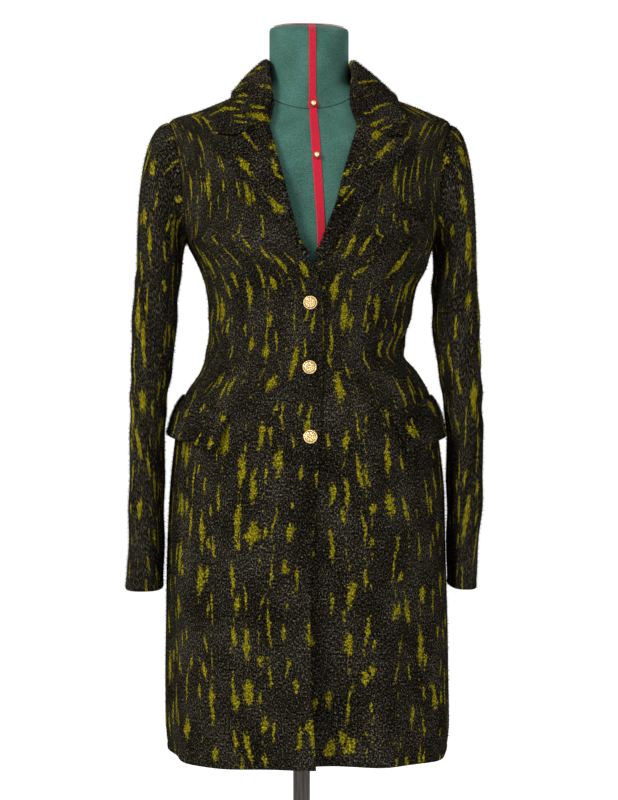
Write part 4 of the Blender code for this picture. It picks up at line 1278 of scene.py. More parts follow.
def build_collar():
    """Collar: a stand up from the neck seam, a fold, and a fall down to its outer edge."""
    half = np.unique(np.concatenate((np.linspace(0, 1, 96), 1 - np.array([0.001, 0.003, 0.006]))))
    up = np.array([0.0, 0.0, 1.0])
    sides = []
    hints = []
    for side in (-1, 1):
        edge_table = RIGHT_EDGE if side < 0 else LEFT_EDGE
        angle, height = neck_path(half, side)
        base = body_point(angle, height)
        normal = body_normal(angle, height)
        plain = unit(stack(base[:, 0], base[:, 1], 0 * height))
        front_share = ramp(half, 0.62, 1.0)[:, None]
        _, away_front, normal_front = roll_frame(np.minimum(height, NECK_SIDE), edge_table, side)
        stand = COLLAR.at("stand", half)
        room = np.linalg.norm(base[:, :2], axis=1) - CLOTH - NECK_RADIUS - COLLAR_CLEAR
        lean_in = np.clip(room / (stand + 1.0), 0.0, 0.42)[:, None]
        away = unit(away_front * front_share + (up - plain * lean_in) * (1 - front_share))
        outward = unit(normal_front * front_share + (plain + up * lean_in) * (1 - front_share))
        start = base + (outward - normal * front_share - plain * (1 - front_share)) * CLOTH / 2
        lean = np.linalg.norm(np.cross(away, away_front), axis=1) * ramp(half, 0.5, 0.58)
        start = start + away * (0.55 * DOUBLED * lean)[:, None]
        rows = rolled(start, away, outward, stand, STAND_STEPS)
        edge_angle = side * np.radians(COLLAR.at("angle", half))
        edge_height = COLLAR.at("height", half)
        edge = body_point(edge_angle, edge_height)
        edge = edge + body_normal(edge_angle, edge_height) * COLLAR_REST
        fold = rows[-1]
        for out in eased(30)[1:]:
            belly = 2.5 * math.sin(math.pi * out)
            free = fold + (edge - fold) * out + outward * belly
            across = fold[:, 0] + (edge[:, 0] - fold[:, 0]) * out
            level = GORGE + 1.0 - NOTCH.at("collar", out)
            end = leaf_point(across[-1:], np.array([level]), out, side)
            share = ramp(half, 0.84, 1.0)[:, None]
            rows.append(free + (end - free[-1:]) * share)
        sides.append(np.array(rows))
        hints.append(like_rows(outward, rows, STAND_STEPS + ROLL_STEPS))
    middle = np.concatenate((sides[0][:, ::-1], sides[1][:, 1:]), axis=1)
    hint = np.concatenate((hints[0][:, ::-1], hints[1][:, 1:]), axis=1)
    free = edge_distance(middle, "first last high")
    roll = rolled_edge(free, 1.3, 0.6)
    fall = ramp(path_lengths(middle, 0) - 20.0, 20, 34)
    thickness = (DOUBLED + roll * fall) * rounding(edge_distance(middle), 1.9)
    length = path_lengths(middle, 1)
    length = length - length[:, length.shape[1] // 2][:, None]
    grain = columns_of(COLLAR_CLOTH + length, path_lengths(middle, 0))
    piece, outer = leaf_wall("collar_cloth", middle, hint, thickness, grain)
    sew(piece, "collar", outer, "folded", "back_right", "back_left")


def build_sleeve(name, table, side, first, last, shift):
    """One cut piece of a sleeve, with its puckered head and the creases of its elbow."""
    shares = eased(4 * (last - first) + 1, 2)
    gap = SEAM * 1.4 / 60.0
    start = math.pi * first / ARMHOLE_STEPS + gap
    turn = start + (math.pi * last / ARMHOLE_STEPS - gap - start) * shares
    middle, body_out = sleeve_surface(table, turn, side)
    ahead, _ = sleeve_surface(table, turn + 0.02, side)
    behind, _ = sleeve_surface(table, turn - 0.02, side)
    down = np.gradient(middle, axis=0)
    outward = unit(np.cross(ahead - behind, down)) * side
    outward[0] = body_out
    middle[0] = middle[0] + armhole_leave(turn, side) * SEAM
    crease = sleeve_creases(turn[None, :] + 0 * middle[..., 2], middle[..., 2], side)
    around = edge_distance(middle, "first last")
    crease = crease * ramp(around, 0, 9)
    thickness = CLOTH * rounding(edge_distance(middle), 1.5)
    puff = 0.6 * bump(edge_distance(middle, "high"), 4.0, 3.0)
    outer = middle + outward * (crease - (CLOTH - thickness) / 2 + puff)[..., None]
    across = path_lengths(outer[WIDEST_SLEEVE_ROW:WIDEST_SLEEVE_ROW + 1], 1)
    grain = columns_of(shift + across, -path_lengths(outer, 0))
    piece = cloth_wall(name + "_cloth", outer, outward, thickness + puff, grain)
    sew(piece, name, outer, "hung", front_of(side))


def build_flap(name, side):
    """Hip pocket flap that springs from its seam, with rolled free edges."""
    shares = eased(54)
    falls = eased(28)
    plain = DOUBLED - 1.8 * np.clip(1 - falls / 0.3, 0, 1)
    rows = []
    for fall, thick in zip(falls, plain):
        turn = (FLAP_LEAN[side] * fall - FLAP_FORWARD[side]) * (1 - shares)
        angle = side * (np.radians(FLAP.at("angle", shares)) + turn)
        height = FLAP.at("seam", shares) - FLAP.at("drop", shares) * fall
        middle = FLAP.at("middle", shares)
        edge = FLAP.at("edge", shares)
        off = edge * fall + (4 * middle - 2 * edge) * fall * (1 - fall)
        flat, out = on_front(angle, height, side)
        rows.append(flat + out * (FLAP_REST + thick / 2 + off * FLAP_SPREAD[side])[:, None])
    middle = np.array(rows)
    hint = like_rows(out, middle)
    free = edge_distance(middle, "first last high")
    roll = rolled_edge(free, 1.2, 0.6, 9.5)
    thickness = (plain[:, None] + roll) * rounding(edge_distance(middle), 1.9)
    grain = columns_of(side * (FLAP_CLOTH + path_lengths(middle, 1)), -path_lengths(middle, 0))
    piece, outer = leaf_wall(name + "_cloth", middle, hint, thickness, grain)
    sew(piece, name, outer, "hung", front_of(side))


def build_welt():
    """Breast pocket's welt on the left front."""
    shares = eased(44)
    rows = []
    for fall in eased(16):
        across = WELT_ACROSS[0] + (WELT_ACROSS[1] - WELT_ACROSS[0]) * shares
        height = WELT_TOP + 5.0 * shares - WELT_WIDTH * fall
        angle = angle_at(across, height)
        out = body_normal(angle, height)
        rows.append(body_point(angle, height) + out * (SEAM + 0.5 + WELT_THICKNESS / 2))
    middle = np.array(rows)
    hint = like_rows(out, middle)
    thickness = WELT_THICKNESS * rounding(edge_distance(middle), 1.2)
    grain = columns_of(WELT_CLOTH + path_lengths(middle, 1), -path_lengths(middle, 0))
    piece, outer = leaf_wall("welt_breast_cloth", middle, hint, thickness, grain)
    sew(piece, "welt_breast", outer, "laid", "front_left")


class COAT_OT_fronts(bpy.types.Operator):
    """Make the two fronts"""

    bl_idname = "coat.fronts"
    bl_label = "Fronts"

    def execute(self, context):
        build_front("front_right", RIGHT_EDGE, -1)
        build_front("front_left", LEFT_EDGE, 1)
        return {"FINISHED"}


class COAT_OT_backs(bpy.types.Operator):
    """Make the two halves of the back"""

    bl_idname = "coat.backs"
    bl_label = "Back"

    def execute(self, context):
        build_back("back_right", -1)
        build_back("back_left", 1)
        return {"FINISHED"}


class COAT_OT_lapels(bpy.types.Operator):
    """Make the two lapels"""

    bl_idname = "coat.lapels"
    bl_label = "Lapels"

    def execute(self, context):
        build_lapel("lapel_right", RIGHT_EDGE, -1)
        build_lapel("lapel_left", LEFT_EDGE, 1)
        return {"FINISHED"}


class COAT_OT_collar(bpy.types.Operator):
    """Make the collar"""

    bl_idname = "coat.collar"
    bl_label = "Collar"

    def execute(self, context):
        build_collar()
        return {"FINISHED"}


class COAT_OT_sleeves(bpy.types.Operator):
    """Make the two-piece sleeves"""

    bl_idname = "coat.sleeves"
    bl_label = "Sleeves"

    def execute(self, context):
        for label, table, side in (("right", RIGHT_SLEEVE, -1), ("left", LEFT_SLEEVE, 1)):
            shift = 400 * side
            behind = SLEEVE_BACK_SEAM - 2 * ARMHOLE_STEPS
            build_sleeve("sleeve_top_" + label, table, side, behind, SLEEVE_FRONT_SEAM,
                         TOP_SLEEVE_CLOTH + shift)
            build_sleeve("sleeve_under_" + label, table, side, SLEEVE_FRONT_SEAM, SLEEVE_BACK_SEAM,
                         UNDER_SLEEVE_CLOTH + shift)
        return {"FINISHED"}


class COAT_OT_pockets(bpy.types.Operator):
    """Make the hip pocket flaps and the breast pocket's welt"""

    bl_idname = "coat.pockets"
    bl_label = "Pockets"

    def execute(self, context):
        build_flap("flap_right", -1)
        build_flap("flap_left", 1)
        build_welt()
        return {"FINISHED"}


def from_rings(name, rings, grain=None):
    """Closed solid of revolution or loft through a stack of rings, lowest first."""
    rows, columns = rings.shape[:2]
    index = np.arange(rows * columns).reshape(rows, columns)
    beside = np.roll(index, -1, axis=1)
    faces = np.stack((index[:-1], beside[:-1], beside[1:], index[1:]), axis=-1).reshape(-1, 4).tolist()
    points = rings.reshape(-1, 3)
    ends = np.array([rings[0].mean(axis=0), rings[-1].mean(axis=0)])
    points = np.concatenate((points, ends))
    low = rows * columns
    faces += [(int(b), int(a), low) for a, b in zip(index[0], beside[0])]
    faces += [(int(a), int(b), low + 1) for a, b in zip(index[-1], beside[-1])]
    if grain is not None:
        grain = grain.reshape(-1, 2)
        grain = np.concatenate((grain, [grain[0], grain[-1]])) * MM
    return mesh_object(name, points, faces, grain)


def ring_grain(rings, start=0.0):
    """Cloth wrapped round a stack of rings: distance round them and up them."""
    around = path_lengths(rings, 1)
    level = len(rings) // 2
    return columns_of(around[level] + start, path_lengths(rings, 0))


def build_form_body(cover):
    """Smooth torso of the form, rounded at its underside and at the neck seam."""
    turn = full_turn(176) + 0.001
    rings = []
    for level, inset in ((0.0, 7.0), (0.6, 3.4), (2.4, 1.3), (6.0, 0.3)):
        ring, out = form_point(turn, np.full(turn.shape, FORM_BOTTOM + level))
        ring = ring - out * inset
        ring[:, 2] = FORM_BOTTOM + level
        rings.append(ring)
    for level in np.linspace(FORM_BOTTOM + 12, CHEST, 84):
        rings.append(form_point(turn, np.full(turn.shape, float(level)))[0])
    for share in np.concatenate((np.linspace(0.03, 0.97, 30), (0.985, 0.995, 1.0))):
        point, out = crown_point(turn, share)
        rings.append(point - out * (0.9 * bump(share, 1.0, 0.012)))
    rings = np.array(rings)
    piece = from_rings("form_body_cover", rings, ring_grain(rings))
    wear(piece, cover, "form_cloth", "form_body")


def build_form_neck(cover):
    """Neck of the form with its sloping, rounded cap and the seam at its base."""
    turn = full_turn(176)
    levels = np.concatenate(((0.0, 0.004, 0.012, 0.03), np.linspace(0.06, 0.95, 26),
                             (0.975, 0.992, 1.0, 1.012, 1.03), np.linspace(1.06, 1.97, 22)))
    rings = []
    for level in levels:
        ring = neck_points(turn, float(level))
        dip = 0.9 * bump(level, 0.0, 0.008) + 1.1 * bump(level, 1.0, 0.016)
        away = unit(stack(ring[:, 0], ring[:, 1], 0 * turn))
        ring = ring - away * dip
        ring[:, 2] -= 0.7 * bump(level, 1.0, 0.02)
        rings.append(ring)
    rings = np.array(rings)
    piece = from_rings("form_neck_cover", rings, ring_grain(rings, 700.0))
    wear(piece, cover, "form_cloth", "form_neck")


def lathe(name, profile, segments, place=(0.0, 0.0, 0.0), turn=None):
    """Piece turned from (radius, height) pairs, top first, then set in its place."""
    angle = np.linspace(0, 2 * math.pi, segments, endpoint=False)
    rings = np.array([stack(radius * np.cos(angle), radius * np.sin(angle), height + 0 * angle)
                      for radius, height in reversed(profile)])
    piece = from_rings(name, rings)
    for vert in piece.data.vertices:
        point = vert.co - Vector((FIGURE_SHIFT * MM, 0, 0))
        if turn is not None:
            point = turn @ point
        vert.co = point + Vector(place)
    return piece


def rounded_profile(corners, reach):
    """Profile whose corners are rounded by short arcs."""
    points = [np.array(corner, float) for corner in corners]
    made = [tuple(points[0])]
    for before, here, after in zip(points, points[1:], points[2:]):
        first = here + (before - here) * min(0.45, reach / max(np.linalg.norm(before - here), 1e-6))
        last = here + (after - here) * min(0.45, reach / max(np.linalg.norm(after - here), 1e-6))
        for share in np.linspace(0, 1, 5):
            made.append(tuple((1 - share) ** 2 * first + 2 * share * (1 - share) * here + share ** 2 * last))
    made.append(tuple(points[-1]))
    return made


class Growth:
    """Geometry Nodes tree with named inputs, for what repeats on a piece."""

    def __init__(self, name):
        self.tree = bpy.data.node_groups.new(name, "GeometryNodeTree")
        self.tree.interface.new_socket(name="Geometry", in_out="INPUT", socket_type="NodeSocketGeometry")
        self.tree.interface.new_socket(name="Geometry", in_out="OUTPUT", socket_type="NodeSocketGeometry")
        self.start = self.tree.nodes.new("NodeGroupInput")
        self.end = self.tree.nodes.new("NodeGroupOutput")
        self.given = {}

    def take(self, name, kind, value):
        """Adds a named input and remembers the value it gets."""
        socket = self.tree.interface.new_socket(name=name, in_out="INPUT", socket_type="NodeSocket" + kind)
        self.given[socket.identifier] = value
        return self.start.outputs[name]

    def node(self, kind, settings=None, places=None):
        """Adds a node with its settings and the values or links of its sockets."""
        node = self.tree.nodes.new(kind)
        for name, setting in (settings or {}).items():
            setattr(node, name, setting)
        for place, given in (places or {}).items():
            if isinstance(given, bpy.types.NodeSocket):
                self.tree.links.new(given, node.inputs[place])
            else:
                node.inputs[place].default_value = given
        return node

    def spread_on(self, points, shape, rotation=None, scale=None):
        """Copies of a shape on points."""
        places = {"Points": points, "Instance": shape}
        if rotation is not None:
            places["Rotation"] = rotation
        if scale is not None:
            places["Scale"] = scale
        return self.node("GeometryNodeInstanceOnPoints", None, places).outputs[0]

    def moved(self, shape, way, amount):
        """A shape moved or scaled; the way is the name of that socket."""
        return self.node("GeometryNodeTransform", None, {"Geometry": shape, way: amount}).outputs[0]

    def finish(self, made, finish_socket):
        """Ends the tree in real geometry with its material."""
        real = self.node("GeometryNodeRealizeInstances", None, {0: made})
        dressed = self.node("GeometryNodeSetMaterial", None,
                            {"Geometry": real.outputs[0], "Material": finish_socket})
        self.tree.links.new(dressed.outputs[0], self.end.inputs[0])

    def grow(self, piece):
        """Runs the tree on a piece and keeps the result as its plain mesh."""
        modifier = piece.modifiers.new("growth", "NODES")
        modifier.node_group = self.tree
        for identifier, value in self.given.items():
            modifier[identifier] = value
        seen = bpy.context.evaluated_depsgraph_get()
        made = bpy.data.meshes.new_from_object(piece.evaluated_get(seen), depsgraph=seen)
        piece.modifiers.remove(modifier)
        piece.data = made


def nap_tree(coat, blade, count, seed):
    """Short bent fibres that stand out of a surface, leaning every way."""
    growth = Growth("nap")
    amount = growth.take("Density", "Float", count)
    length = growth.take("Length", "Float", coat.nap_length)
    lean_low = growth.take("Least lean", "Vector", (0.35, 0.0, 0.0))
    lean_high = growth.take("Most lean", "Vector", (1.35, 0.0, 2 * math.pi))
    fibre = growth.take("Fibre", "Object", blade)
    finish = growth.take("Finish", "Material", coat_cloth())
    source = growth.start.outputs["Geometry"]
    spread = growth.node("GeometryNodeDistributePointsOnFaces", None,
                         {"Mesh": source, "Density": amount, "Seed": seed})
    lean = growth.node("FunctionNodeRandomValue", {"data_type": "FLOAT_VECTOR"},
                       {0: lean_low, 1: lean_high, "Seed": seed + 1})
    turned = growth.node("FunctionNodeRotateRotation", {"rotation_space": "LOCAL"},
                         {0: spread.outputs["Rotation"], 1: lean.outputs[0]})
    size = growth.node("FunctionNodeRandomValue", {"data_type": "FLOAT"},
                       {2: 0.45, 3: 1.2, "Seed": seed + 2})
    size = growth.node("ShaderNodeMath", {"operation": "MULTIPLY"}, {0: size.outputs[1], 1: length})
    shape = growth.node("GeometryNodeObjectInfo", None, {"Object": fibre})
    fibres = growth.spread_on(spread.outputs["Points"], shape.outputs["Geometry"],
                              turned.outputs[0], size.outputs[0])
    growth.finish(fibres, finish)
    return growth


def blade_object():
    """One bent fibre, a unit long, for the nap."""
    data = bpy.data.meshes.new("fibre")
    half = 0.075
    verts = [(-half, 0, -0.12), (half, 0, -0.12), (half * 0.8, 0.10, 0.5),
             (-half * 0.8, 0.10, 0.5), (0, 0.34, 1.0)]
    data.from_pydata(verts, [], [(0, 1, 2, 3), (3, 2, 4)])
    data.shade_smooth()
    return placed("fibre", data)


def build_nap(coat, name, seed, hosts):
    """Nap of one group of pieces, grown from the outer faces of their cloth."""
    blade = blade_object()
    points = []
    faces = []
    grain = []
    start = 0
    for host in hosts:
        where, quads, flat = HOSTS[host + "_cloth"]
        points.append(where)
        faces.append(quads + start)
        grain.append(flat)
        start += len(where)
    points = np.concatenate(points)
    faces = np.concatenate(faces)
    piece = mesh_object(name, points, faces.tolist(), np.concatenate(grain))
    area = sum(face.area for face in piece.data.polygons)
    nap_tree(coat, blade, coat.nap_count / area, seed).grow(piece)
    wear(piece, coat_cloth(), "wool")
    bpy.data.objects.remove(blade, do_unlink=True)


def button_tree(finish):
    """Ring of beads and a ring of petals on a button's face."""
    growth = Growth("button_face")
    beads = growth.take("Beads", "Int", 34)
    bead_radius = growth.take("Bead radius", "Float", 0.00062)
    petals = growth.take("Petals", "Int", 9)
    metal = growth.take("Finish", "Material", finish)
    ring = growth.node("GeometryNodeMeshCircle", None, {"Vertices": beads, "Radius": 0.0075})
    ball = growth.node("GeometryNodeMeshIcoSphere", None, {"Radius": bead_radius, "Subdivisions": 2})
    rim = growth.spread_on(ring.outputs[0], ball.outputs[0])
    rim = growth.moved(rim, "Translation", (0.0, 0.0, 0.0028))
    inner = growth.node("GeometryNodeMeshCircle", None, {"Vertices": petals, "Radius": 0.0042})
    leaf = growth.node("GeometryNodeMeshUVSphere", None, {"Segments": 16, "Rings": 10, "Radius": 0.001})
    leaf = growth.moved(leaf.outputs[0], "Scale", (2.3, 1.15, 0.75))
    index = growth.node("GeometryNodeInputIndex")
    share = growth.node("ShaderNodeMath", {"operation": "DIVIDE"}, {0: index.outputs[0], 1: petals})
    angle = growth.node("ShaderNodeMath", {"operation": "MULTIPLY"}, {0: share.outputs[0], 1: 2 * math.pi})
    facing = growth.node("ShaderNodeCombineXYZ", None, {2: angle.outputs[0]})
    rose = growth.spread_on(inner.outputs[0], leaf, facing.outputs[0])
    rose = growth.moved(rose, "Translation", (0.0, 0.0, 0.0041))
    whole = growth.node("GeometryNodeJoinGeometry")
    for part in (growth.start.outputs["Geometry"], rim, rose):
        growth.tree.links.new(part, whole.inputs[0])
    growth.finish(whole.outputs[0], metal)
    return growth


BUTTON_PROFILE = (
    (0.3, 5.2), (1.1, 5.1), (1.6, 4.7), (1.9, 3.9), (4.2, 3.7), (6.2, 3.1), (6.7, 2.6), (7.5, 2.4),
    (8.1, 2.7), (8.6, 2.7), (9.0, 2.1), (9.2, 1.4), (9.0, 0.8), (8.3, 0.5), (2.6, 0.5), (2.6, 0.05),
)


def build_button(name, height, metal):
    """Domed gilt button: beaded rim, a plain rosette and a boss."""
    angle = angle_at(BUTTON_LINE, height)
    seat = body_point(angle, height)
    out = body_normal(angle, height)
    turn = np.linspace(0, 2 * math.pi, 72, endpoint=False)
    profile = rounded_profile(BUTTON_PROFILE, 0.35)
    rings = np.array([stack(r * np.cos(turn) - FIGURE_SHIFT, r * np.sin(turn), h + 0 * turn)
                      for r, h in reversed(profile)])
    radius = np.array([r for r, _ in reversed(profile)])
    level = np.array([h for _, h in reversed(profile)])
    low = bump(radius, 7.0, 0.7) + bump(radius, 2.2, 0.6) + 0.75 * bump(radius, 4.3, 1.7)
    low = low + (level < 1.0)
    grain = columns_of(low[:, None], 0 * turn)
    piece = from_rings(name + "_gilt", rings, grain)
    button_tree(metal).grow(piece)
    tilt = Vector(out).to_track_quat("Z", "Y").to_matrix().to_4x4()
    place = Vector(seat + out * (SEAM + 0.2)) + Vector((FIGURE_SHIFT, 0, 0))
    tilt.translation = place * MM
    piece.data.transform(tilt)
    wear(piece, metal, "gilt_metal", name)


def ribbon(name, middle, thickness, grain, finish, node):
    """Thin tape about a grid of middle points."""
    hint = np.broadcast_to((0.0, -0.5, 1.0), middle.shape)
    wall_thickness = thickness * rounding(edge_distance(middle, "first last"), 0.4)
    piece, outer = leaf_wall(name, middle, hint, wall_thickness, grain)
    HOSTS.pop(name)
    wear(piece, finish, "red_tape", node)
    declare(piece, outer, "laid", "form_body", "form_neck")


def build_tape_front(finish):
    """Marking tape down the middle of the form's front."""
    levels = np.concatenate((np.linspace(0, 1.0, 90), np.linspace(1.0, 1.94, 36)[1:],
                             (1.96, 1.98, 2.0, 2.015, 2.03), np.linspace(2.06, 2.5, 14)))
    shares = np.array([-1, -0.94, -0.8, -0.4, 0, 0.4, 0.8, 0.94, 1])
    rows = []
    for level in levels:
        line = []
        for share in shares:
            point, out = tape_point(share * TAPE_WIDTH / 2, float(level))
            lift = 0.12 * math.sin(9.0 * level) + 0.1 * math.sin(31.0 * level)
            line.append(point + out * (SEAM + 0.5 + TAPE_THICKNESS / 2 + lift * (1 - share * share)))
        rows.append(line)
    middle = np.array(rows)
    grain = columns_of(shares * TAPE_WIDTH / 2, path_lengths(middle, 0))
    ribbon("tape_front_twill", middle, TAPE_THICKNESS, grain, finish, "tape_front")


def build_tape_neck(finish):
    """Second tape, straight across the cap behind the front tape's end."""
    shares = np.linspace(-1, 1, 50)
    across = np.array([0.0, 0.03, 0.1, 0.3, 0.5, 0.7, 0.9, 0.97, 1.0])
    rows = []
    for share in shares:
        x = 47.0 * share
        line = []
        for place in across:
            y = -1.0 + (2.0 + TAPE_WIDTH) * place
            level = 2 - math.hypot(x, y) / NECK_RADIUS
            line.append(neck_face(math.atan2(x, -y), level)[0])
        rows.append(line)
    middle = np.array(rows)
    middle[:, :, 2] += SEAM + TAPE_THICKNESS / 2 + 0.25
    grain = columns_of((across - 0.5) * TAPE_WIDTH, path_lengths(middle, 0))
    ribbon("tape_neck_twill", middle, TAPE_THICKNESS, grain, finish, "tape_neck")


def build_pin(name, level, metal):
    """Ball head of a pin through the front tape, with its short collar."""
    point, out = tape_point(0.0, level)
    centre = point + out * (SEAM * 3 + TAPE_THICKNESS + PIN_RADIUS)
    turn = np.linspace(0.02, math.pi - 0.35, 30)
    profile = [(PIN_RADIUS * math.sin(t), PIN_RADIUS * math.cos(t)) for t in turn]
    profile += [(1.5, -PIN_RADIUS * 0.98), (1.2, -PIN_RADIUS * 1.08)]
    tilt = Vector(out).to_track_quat("Z", "Y").to_matrix()
    place = (Vector(centre) + Vector((FIGURE_SHIFT, 0, 0))) * MM
    piece = lathe(name + "_gilt", profile, 40, place, tilt)
    wear(piece, metal, "gilt_metal", name)


def stitch_tree(count, finish):
    """Even stitches along a closed line."""
    growth = Growth("seam_stitches")
    amount = growth.take("Count", "Int", count)
    size = growth.take("Thread radius", "Float", 0.00028)
    long = growth.take("Stitch length", "Float", 0.0028)
    finish = growth.take("Finish", "Material", finish)
    line = growth.node("GeometryNodeMeshToCurve", None, {"Mesh": growth.start.outputs["Geometry"]})
    even = growth.node("GeometryNodeCurveToPoints", {"mode": "COUNT"},
                       {"Curve": line.outputs[0], "Count": amount})
    thread_piece = growth.node("GeometryNodeMeshCylinder", None,
                               {"Vertices": 8, "Radius": size, "Depth": long})
    stitches = growth.spread_on(even.outputs["Points"], thread_piece.outputs[0],
                                even.outputs["Rotation"])
    growth.finish(stitches, finish)
    return growth


def build_neck_stitches():
    """Stitches that close the seam at the base of the form's neck."""
    turn = full_turn(120)
    ring = neck_points(turn, 0.004)
    away = unit(stack(ring[:, 0], ring[:, 1], 0 * turn))
    ring = ring + away * 0.15 - np.array([0.0, 0.0, 0.2])
    data = bpy.data.meshes.new("neck_seam_stitches")
    points = (ring + np.array([FIGURE_SHIFT, 0, 0])) * MM
    count = len(points)
    data.from_pydata(points.tolist(), [(i, (i + 1) % count) for i in range(count)], [])
    piece = placed("neck_seam_stitches", data)
    cotton = material("cotton", thread, "cover_thread", (0.020, 0.060, 0.048))
    stitch_tree(110, cotton).grow(piece)
    wear(piece, cotton, "form_cloth")


class COAT_OT_buttons(bpy.types.Operator):
    """Make the three gilt buttons"""

    bl_idname = "coat.buttons"
    bl_label = "Buttons"

    def execute(self, context):
        form = context.scene.form_look
        metal = material("gilt", gilt, "gilt_metal_worked", form.gilt_light, form.gilt_dark)
        for name, height in BUTTON_HEIGHTS:
            build_button(name, height, metal)
        return {"FINISHED"}


# Groups of pieces whose nap is grown in one go, each with its own seed
NAP_GROUPS = (
    ("nap_fronts", 11, "front_right front_left"),
    ("nap_backs", 23, "back_right back_left"),
    ("nap_sleeves", 37, "sleeve_top_right sleeve_under_right sleeve_top_left sleeve_under_left"),
    ("nap_small_pieces", 53, "collar lapel_right lapel_left flap_right flap_left welt_breast"),
)


class COAT_OT_nap(bpy.types.Operator):
    """Raise the brushed nap on the coat's cloth"""

    bl_idname = "coat.nap"
    bl_label = "Nap"

    def execute(self, context):
        coat = context.scene.coat_look
        if not HOSTS:
            raise RuntimeError("The nap needs the coat's pieces first")
        for name, seed, hosts in NAP_GROUPS:
            build_nap(coat, name, seed, hosts.split())
        return {"FINISHED"}


class COAT_OT_form(bpy.types.Operator):
    """Make the limbless form that wears the coat"""

    bl_idname = "coat.form"
    bl_label = "Dress form"

    def execute(self, context):
        cover = material("cover", cover_cloth, context.scene.form_look)
        build_form_body(cover)
        build_form_neck(cover)
        build_neck_stitches()
        return {"FINISHED"}


class COAT_OT_tapes(bpy.types.Operator):
    """Make the marking tapes and their pins"""

    bl_idname = "coat.tapes"
    bl_label = "Tapes and pins"

    def execute(self, context):
        form = context.scene.form_look
        twill = material("tape", tape_cloth, form)
        build_tape_front(twill)
        build_tape_neck(twill)
        metal = material("pin", gilt, "gilt_metal_plain", form.gilt_light, form.gilt_dark)
        for name, level in PIN_LEVELS:
            build_pin(name, level, metal)
        return {"FINISHED"}


class COAT_OT_stand(bpy.types.Operator):
    """Make the wooden pole and its round foot"""

    bl_idname = "coat.stand"
    bl_label = "Pole and foot"

    def execute(self, context):
        wood = material("wood", stained_wood, context.scene.form_look)
        low = FOOT_HEIGHT + SEAM
        high = FORM_BOTTOM - SEAM
        profile = [(0.4, high), (POLE_RADIUS, high), (POLE_RADIUS, high - 200), (POLE_RADIUS, low + 60),
                   (POLE_RADIUS, low), (0.4, low)]
        pole = lathe("pole_wood", rounded_profile(profile, 1.5), 48)
        wear(pole, wood, "dark_wood", "pole")
        profile = [(0.4, FOOT_HEIGHT), (60.0, FOOT_HEIGHT), (FOOT_RADIUS - 8, 10.0),
                   (FOOT_RADIUS, 6.0), (FOOT_RADIUS, 0.0), (0.4, 0.0)]
        foot = lathe("foot_wood", rounded_profile(profile, 2.0), 128)
        wear(foot, wood, "dark_wood", "foot")
        return {"FINISHED"}


# Camera: its sensor in millimetres, and how much it shows and at what level, in metres
SENSOR = 36.0
VIEW_HEIGHT = 1.08
VIEW_LEVEL = 0.994


def aim(thing, target):
    """Turns a light or camera towards a point."""
    way = Vector(target) - thing.location
    thing.rotation_euler = way.to_track_quat("-Z", "Y").to_euler()


def soft_light(name, place, target, size, power):
    """Large square studio light."""
    data = bpy.data.lights.new(name, "AREA")
    data.shape = "SQUARE"
    data.size = size
    data.energy = power
    light = placed(name, data)
    light.location = place
    aim(light, target)


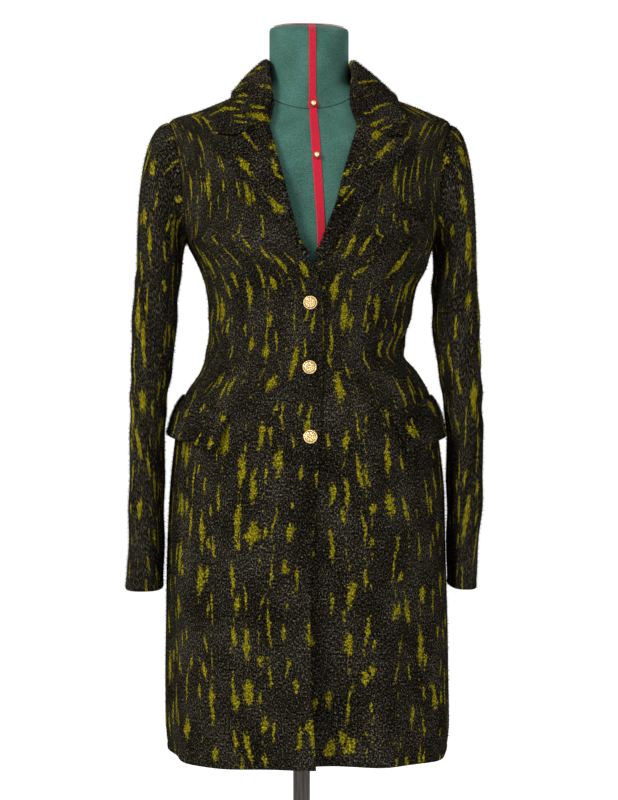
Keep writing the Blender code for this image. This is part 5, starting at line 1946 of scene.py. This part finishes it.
class COAT_OT_stage(bpy.types.Operator):
    """Set up the floor, the soft lights and the camera"""

    bl_idname = "coat.stage"
    bl_label = "Stage"

    def execute(self, context):
        stage = context.scene.stage_look
        mesh = bmesh.new()
        bmesh.ops.create_grid(mesh, x_segments=12, y_segments=12, size=30.0)
        data = bpy.data.meshes.new("floor")
        mesh.to_mesh(data)
        mesh.free()
        floor = placed("floor", data)
        floor.location = (0.0, 0.0, -0.0005)
        data.materials.append(material("floor", pale_floor, stage))
        world = bpy.data.worlds.new("pale_surroundings")
        world.use_nodes = True
        sky = world.node_tree.nodes["Background"]
        sky.inputs["Color"].default_value = (1.0, 1.0, 1.0, 1.0)
        sky.inputs["Strength"].default_value = stage.sky
        context.scene.world = world
        context.scene.view_settings.view_transform = "Standard"
        middle = (FIGURE_SHIFT * MM, 0.0, 1.0)
        soft_light("main_light", (-2.1, -2.2, 2.4), middle, 0.9, stage.key_power)
        soft_light("fill_light", (2.3, -2.0, 1.3), middle, 1.8, stage.fill_power)
        soft_light("back_light", (0.6, 2.4, 2.5), middle, 1.6, stage.fill_power)
        camera = placed("camera", bpy.data.cameras.new("camera"))
        camera.data.sensor_fit = "VERTICAL"
        camera.data.sensor_height = SENSOR
        camera.data.lens = SENSOR * stage.camera_distance / VIEW_HEIGHT
        camera.data.clip_end = 200.0
        target = Vector((FIGURE_SHIFT * MM, 0.0, VIEW_LEVEL))
        turn = stage.camera_turn
        camera.location = target + stage.camera_distance * Vector((math.sin(turn), -math.cos(turn), 0.0))
        aim(camera, target)
        context.scene.camera = camera
        return {"FINISHED"}


OPERATORS = (COAT_OT_stage, COAT_OT_fronts, COAT_OT_backs, COAT_OT_lapels, COAT_OT_collar,
             COAT_OT_sleeves, COAT_OT_pockets, COAT_OT_buttons, COAT_OT_nap, COAT_OT_form,
             COAT_OT_tapes, COAT_OT_stand)


class COAT_PT_panel(bpy.types.Panel):
    """Panel in the 3D view's sidebar that lists the coat's settings and steps"""

    bl_idname = "COAT_PT_panel"
    bl_label = "Wool coat"
    bl_space_type = "VIEW_3D"
    bl_region_type = "UI"
    bl_category = "Coat"

    def draw(self, context):
        layout = self.layout
        for look in (context.scene.coat_look, context.scene.form_look, context.scene.stage_look):
            box = layout.box()
            for name in look.__annotations__:
                box.prop(look, name)
        for operator in OPERATORS:
            layout.operator(operator.bl_idname)


CLASSES = (CoatLook, FormLook, StageLook) + OPERATORS + (COAT_PT_panel,)


def register():
    """Adds the settings, operators and panel."""
    for entry in CLASSES:
        bpy.utils.register_class(entry)
    bpy.types.Scene.coat_look = bpy.props.PointerProperty(type=CoatLook)
    bpy.types.Scene.form_look = bpy.props.PointerProperty(type=FormLook)
    bpy.types.Scene.stage_look = bpy.props.PointerProperty(type=StageLook)


def unregister():
    """Takes the settings, operators and panel away."""
    del bpy.types.Scene.stage_look
    del bpy.types.Scene.form_look
    del bpy.types.Scene.coat_look
    for entry in reversed(CLASSES):
        bpy.utils.unregister_class(entry)


def main():
    """Builds everything in order."""
    register()
    bpy.ops.coat.stage()
    bpy.ops.coat.form()
    bpy.ops.coat.tapes()
    bpy.ops.coat.stand()
    bpy.ops.coat.fronts()
    bpy.ops.coat.backs()
    bpy.ops.coat.lapels()
    bpy.ops.coat.collar()
    bpy.ops.coat.sleeves()
    bpy.ops.coat.pockets()
    bpy.ops.coat.buttons()
    bpy.ops.coat.nap()
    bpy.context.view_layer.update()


if __name__ == "__main__":
    main()
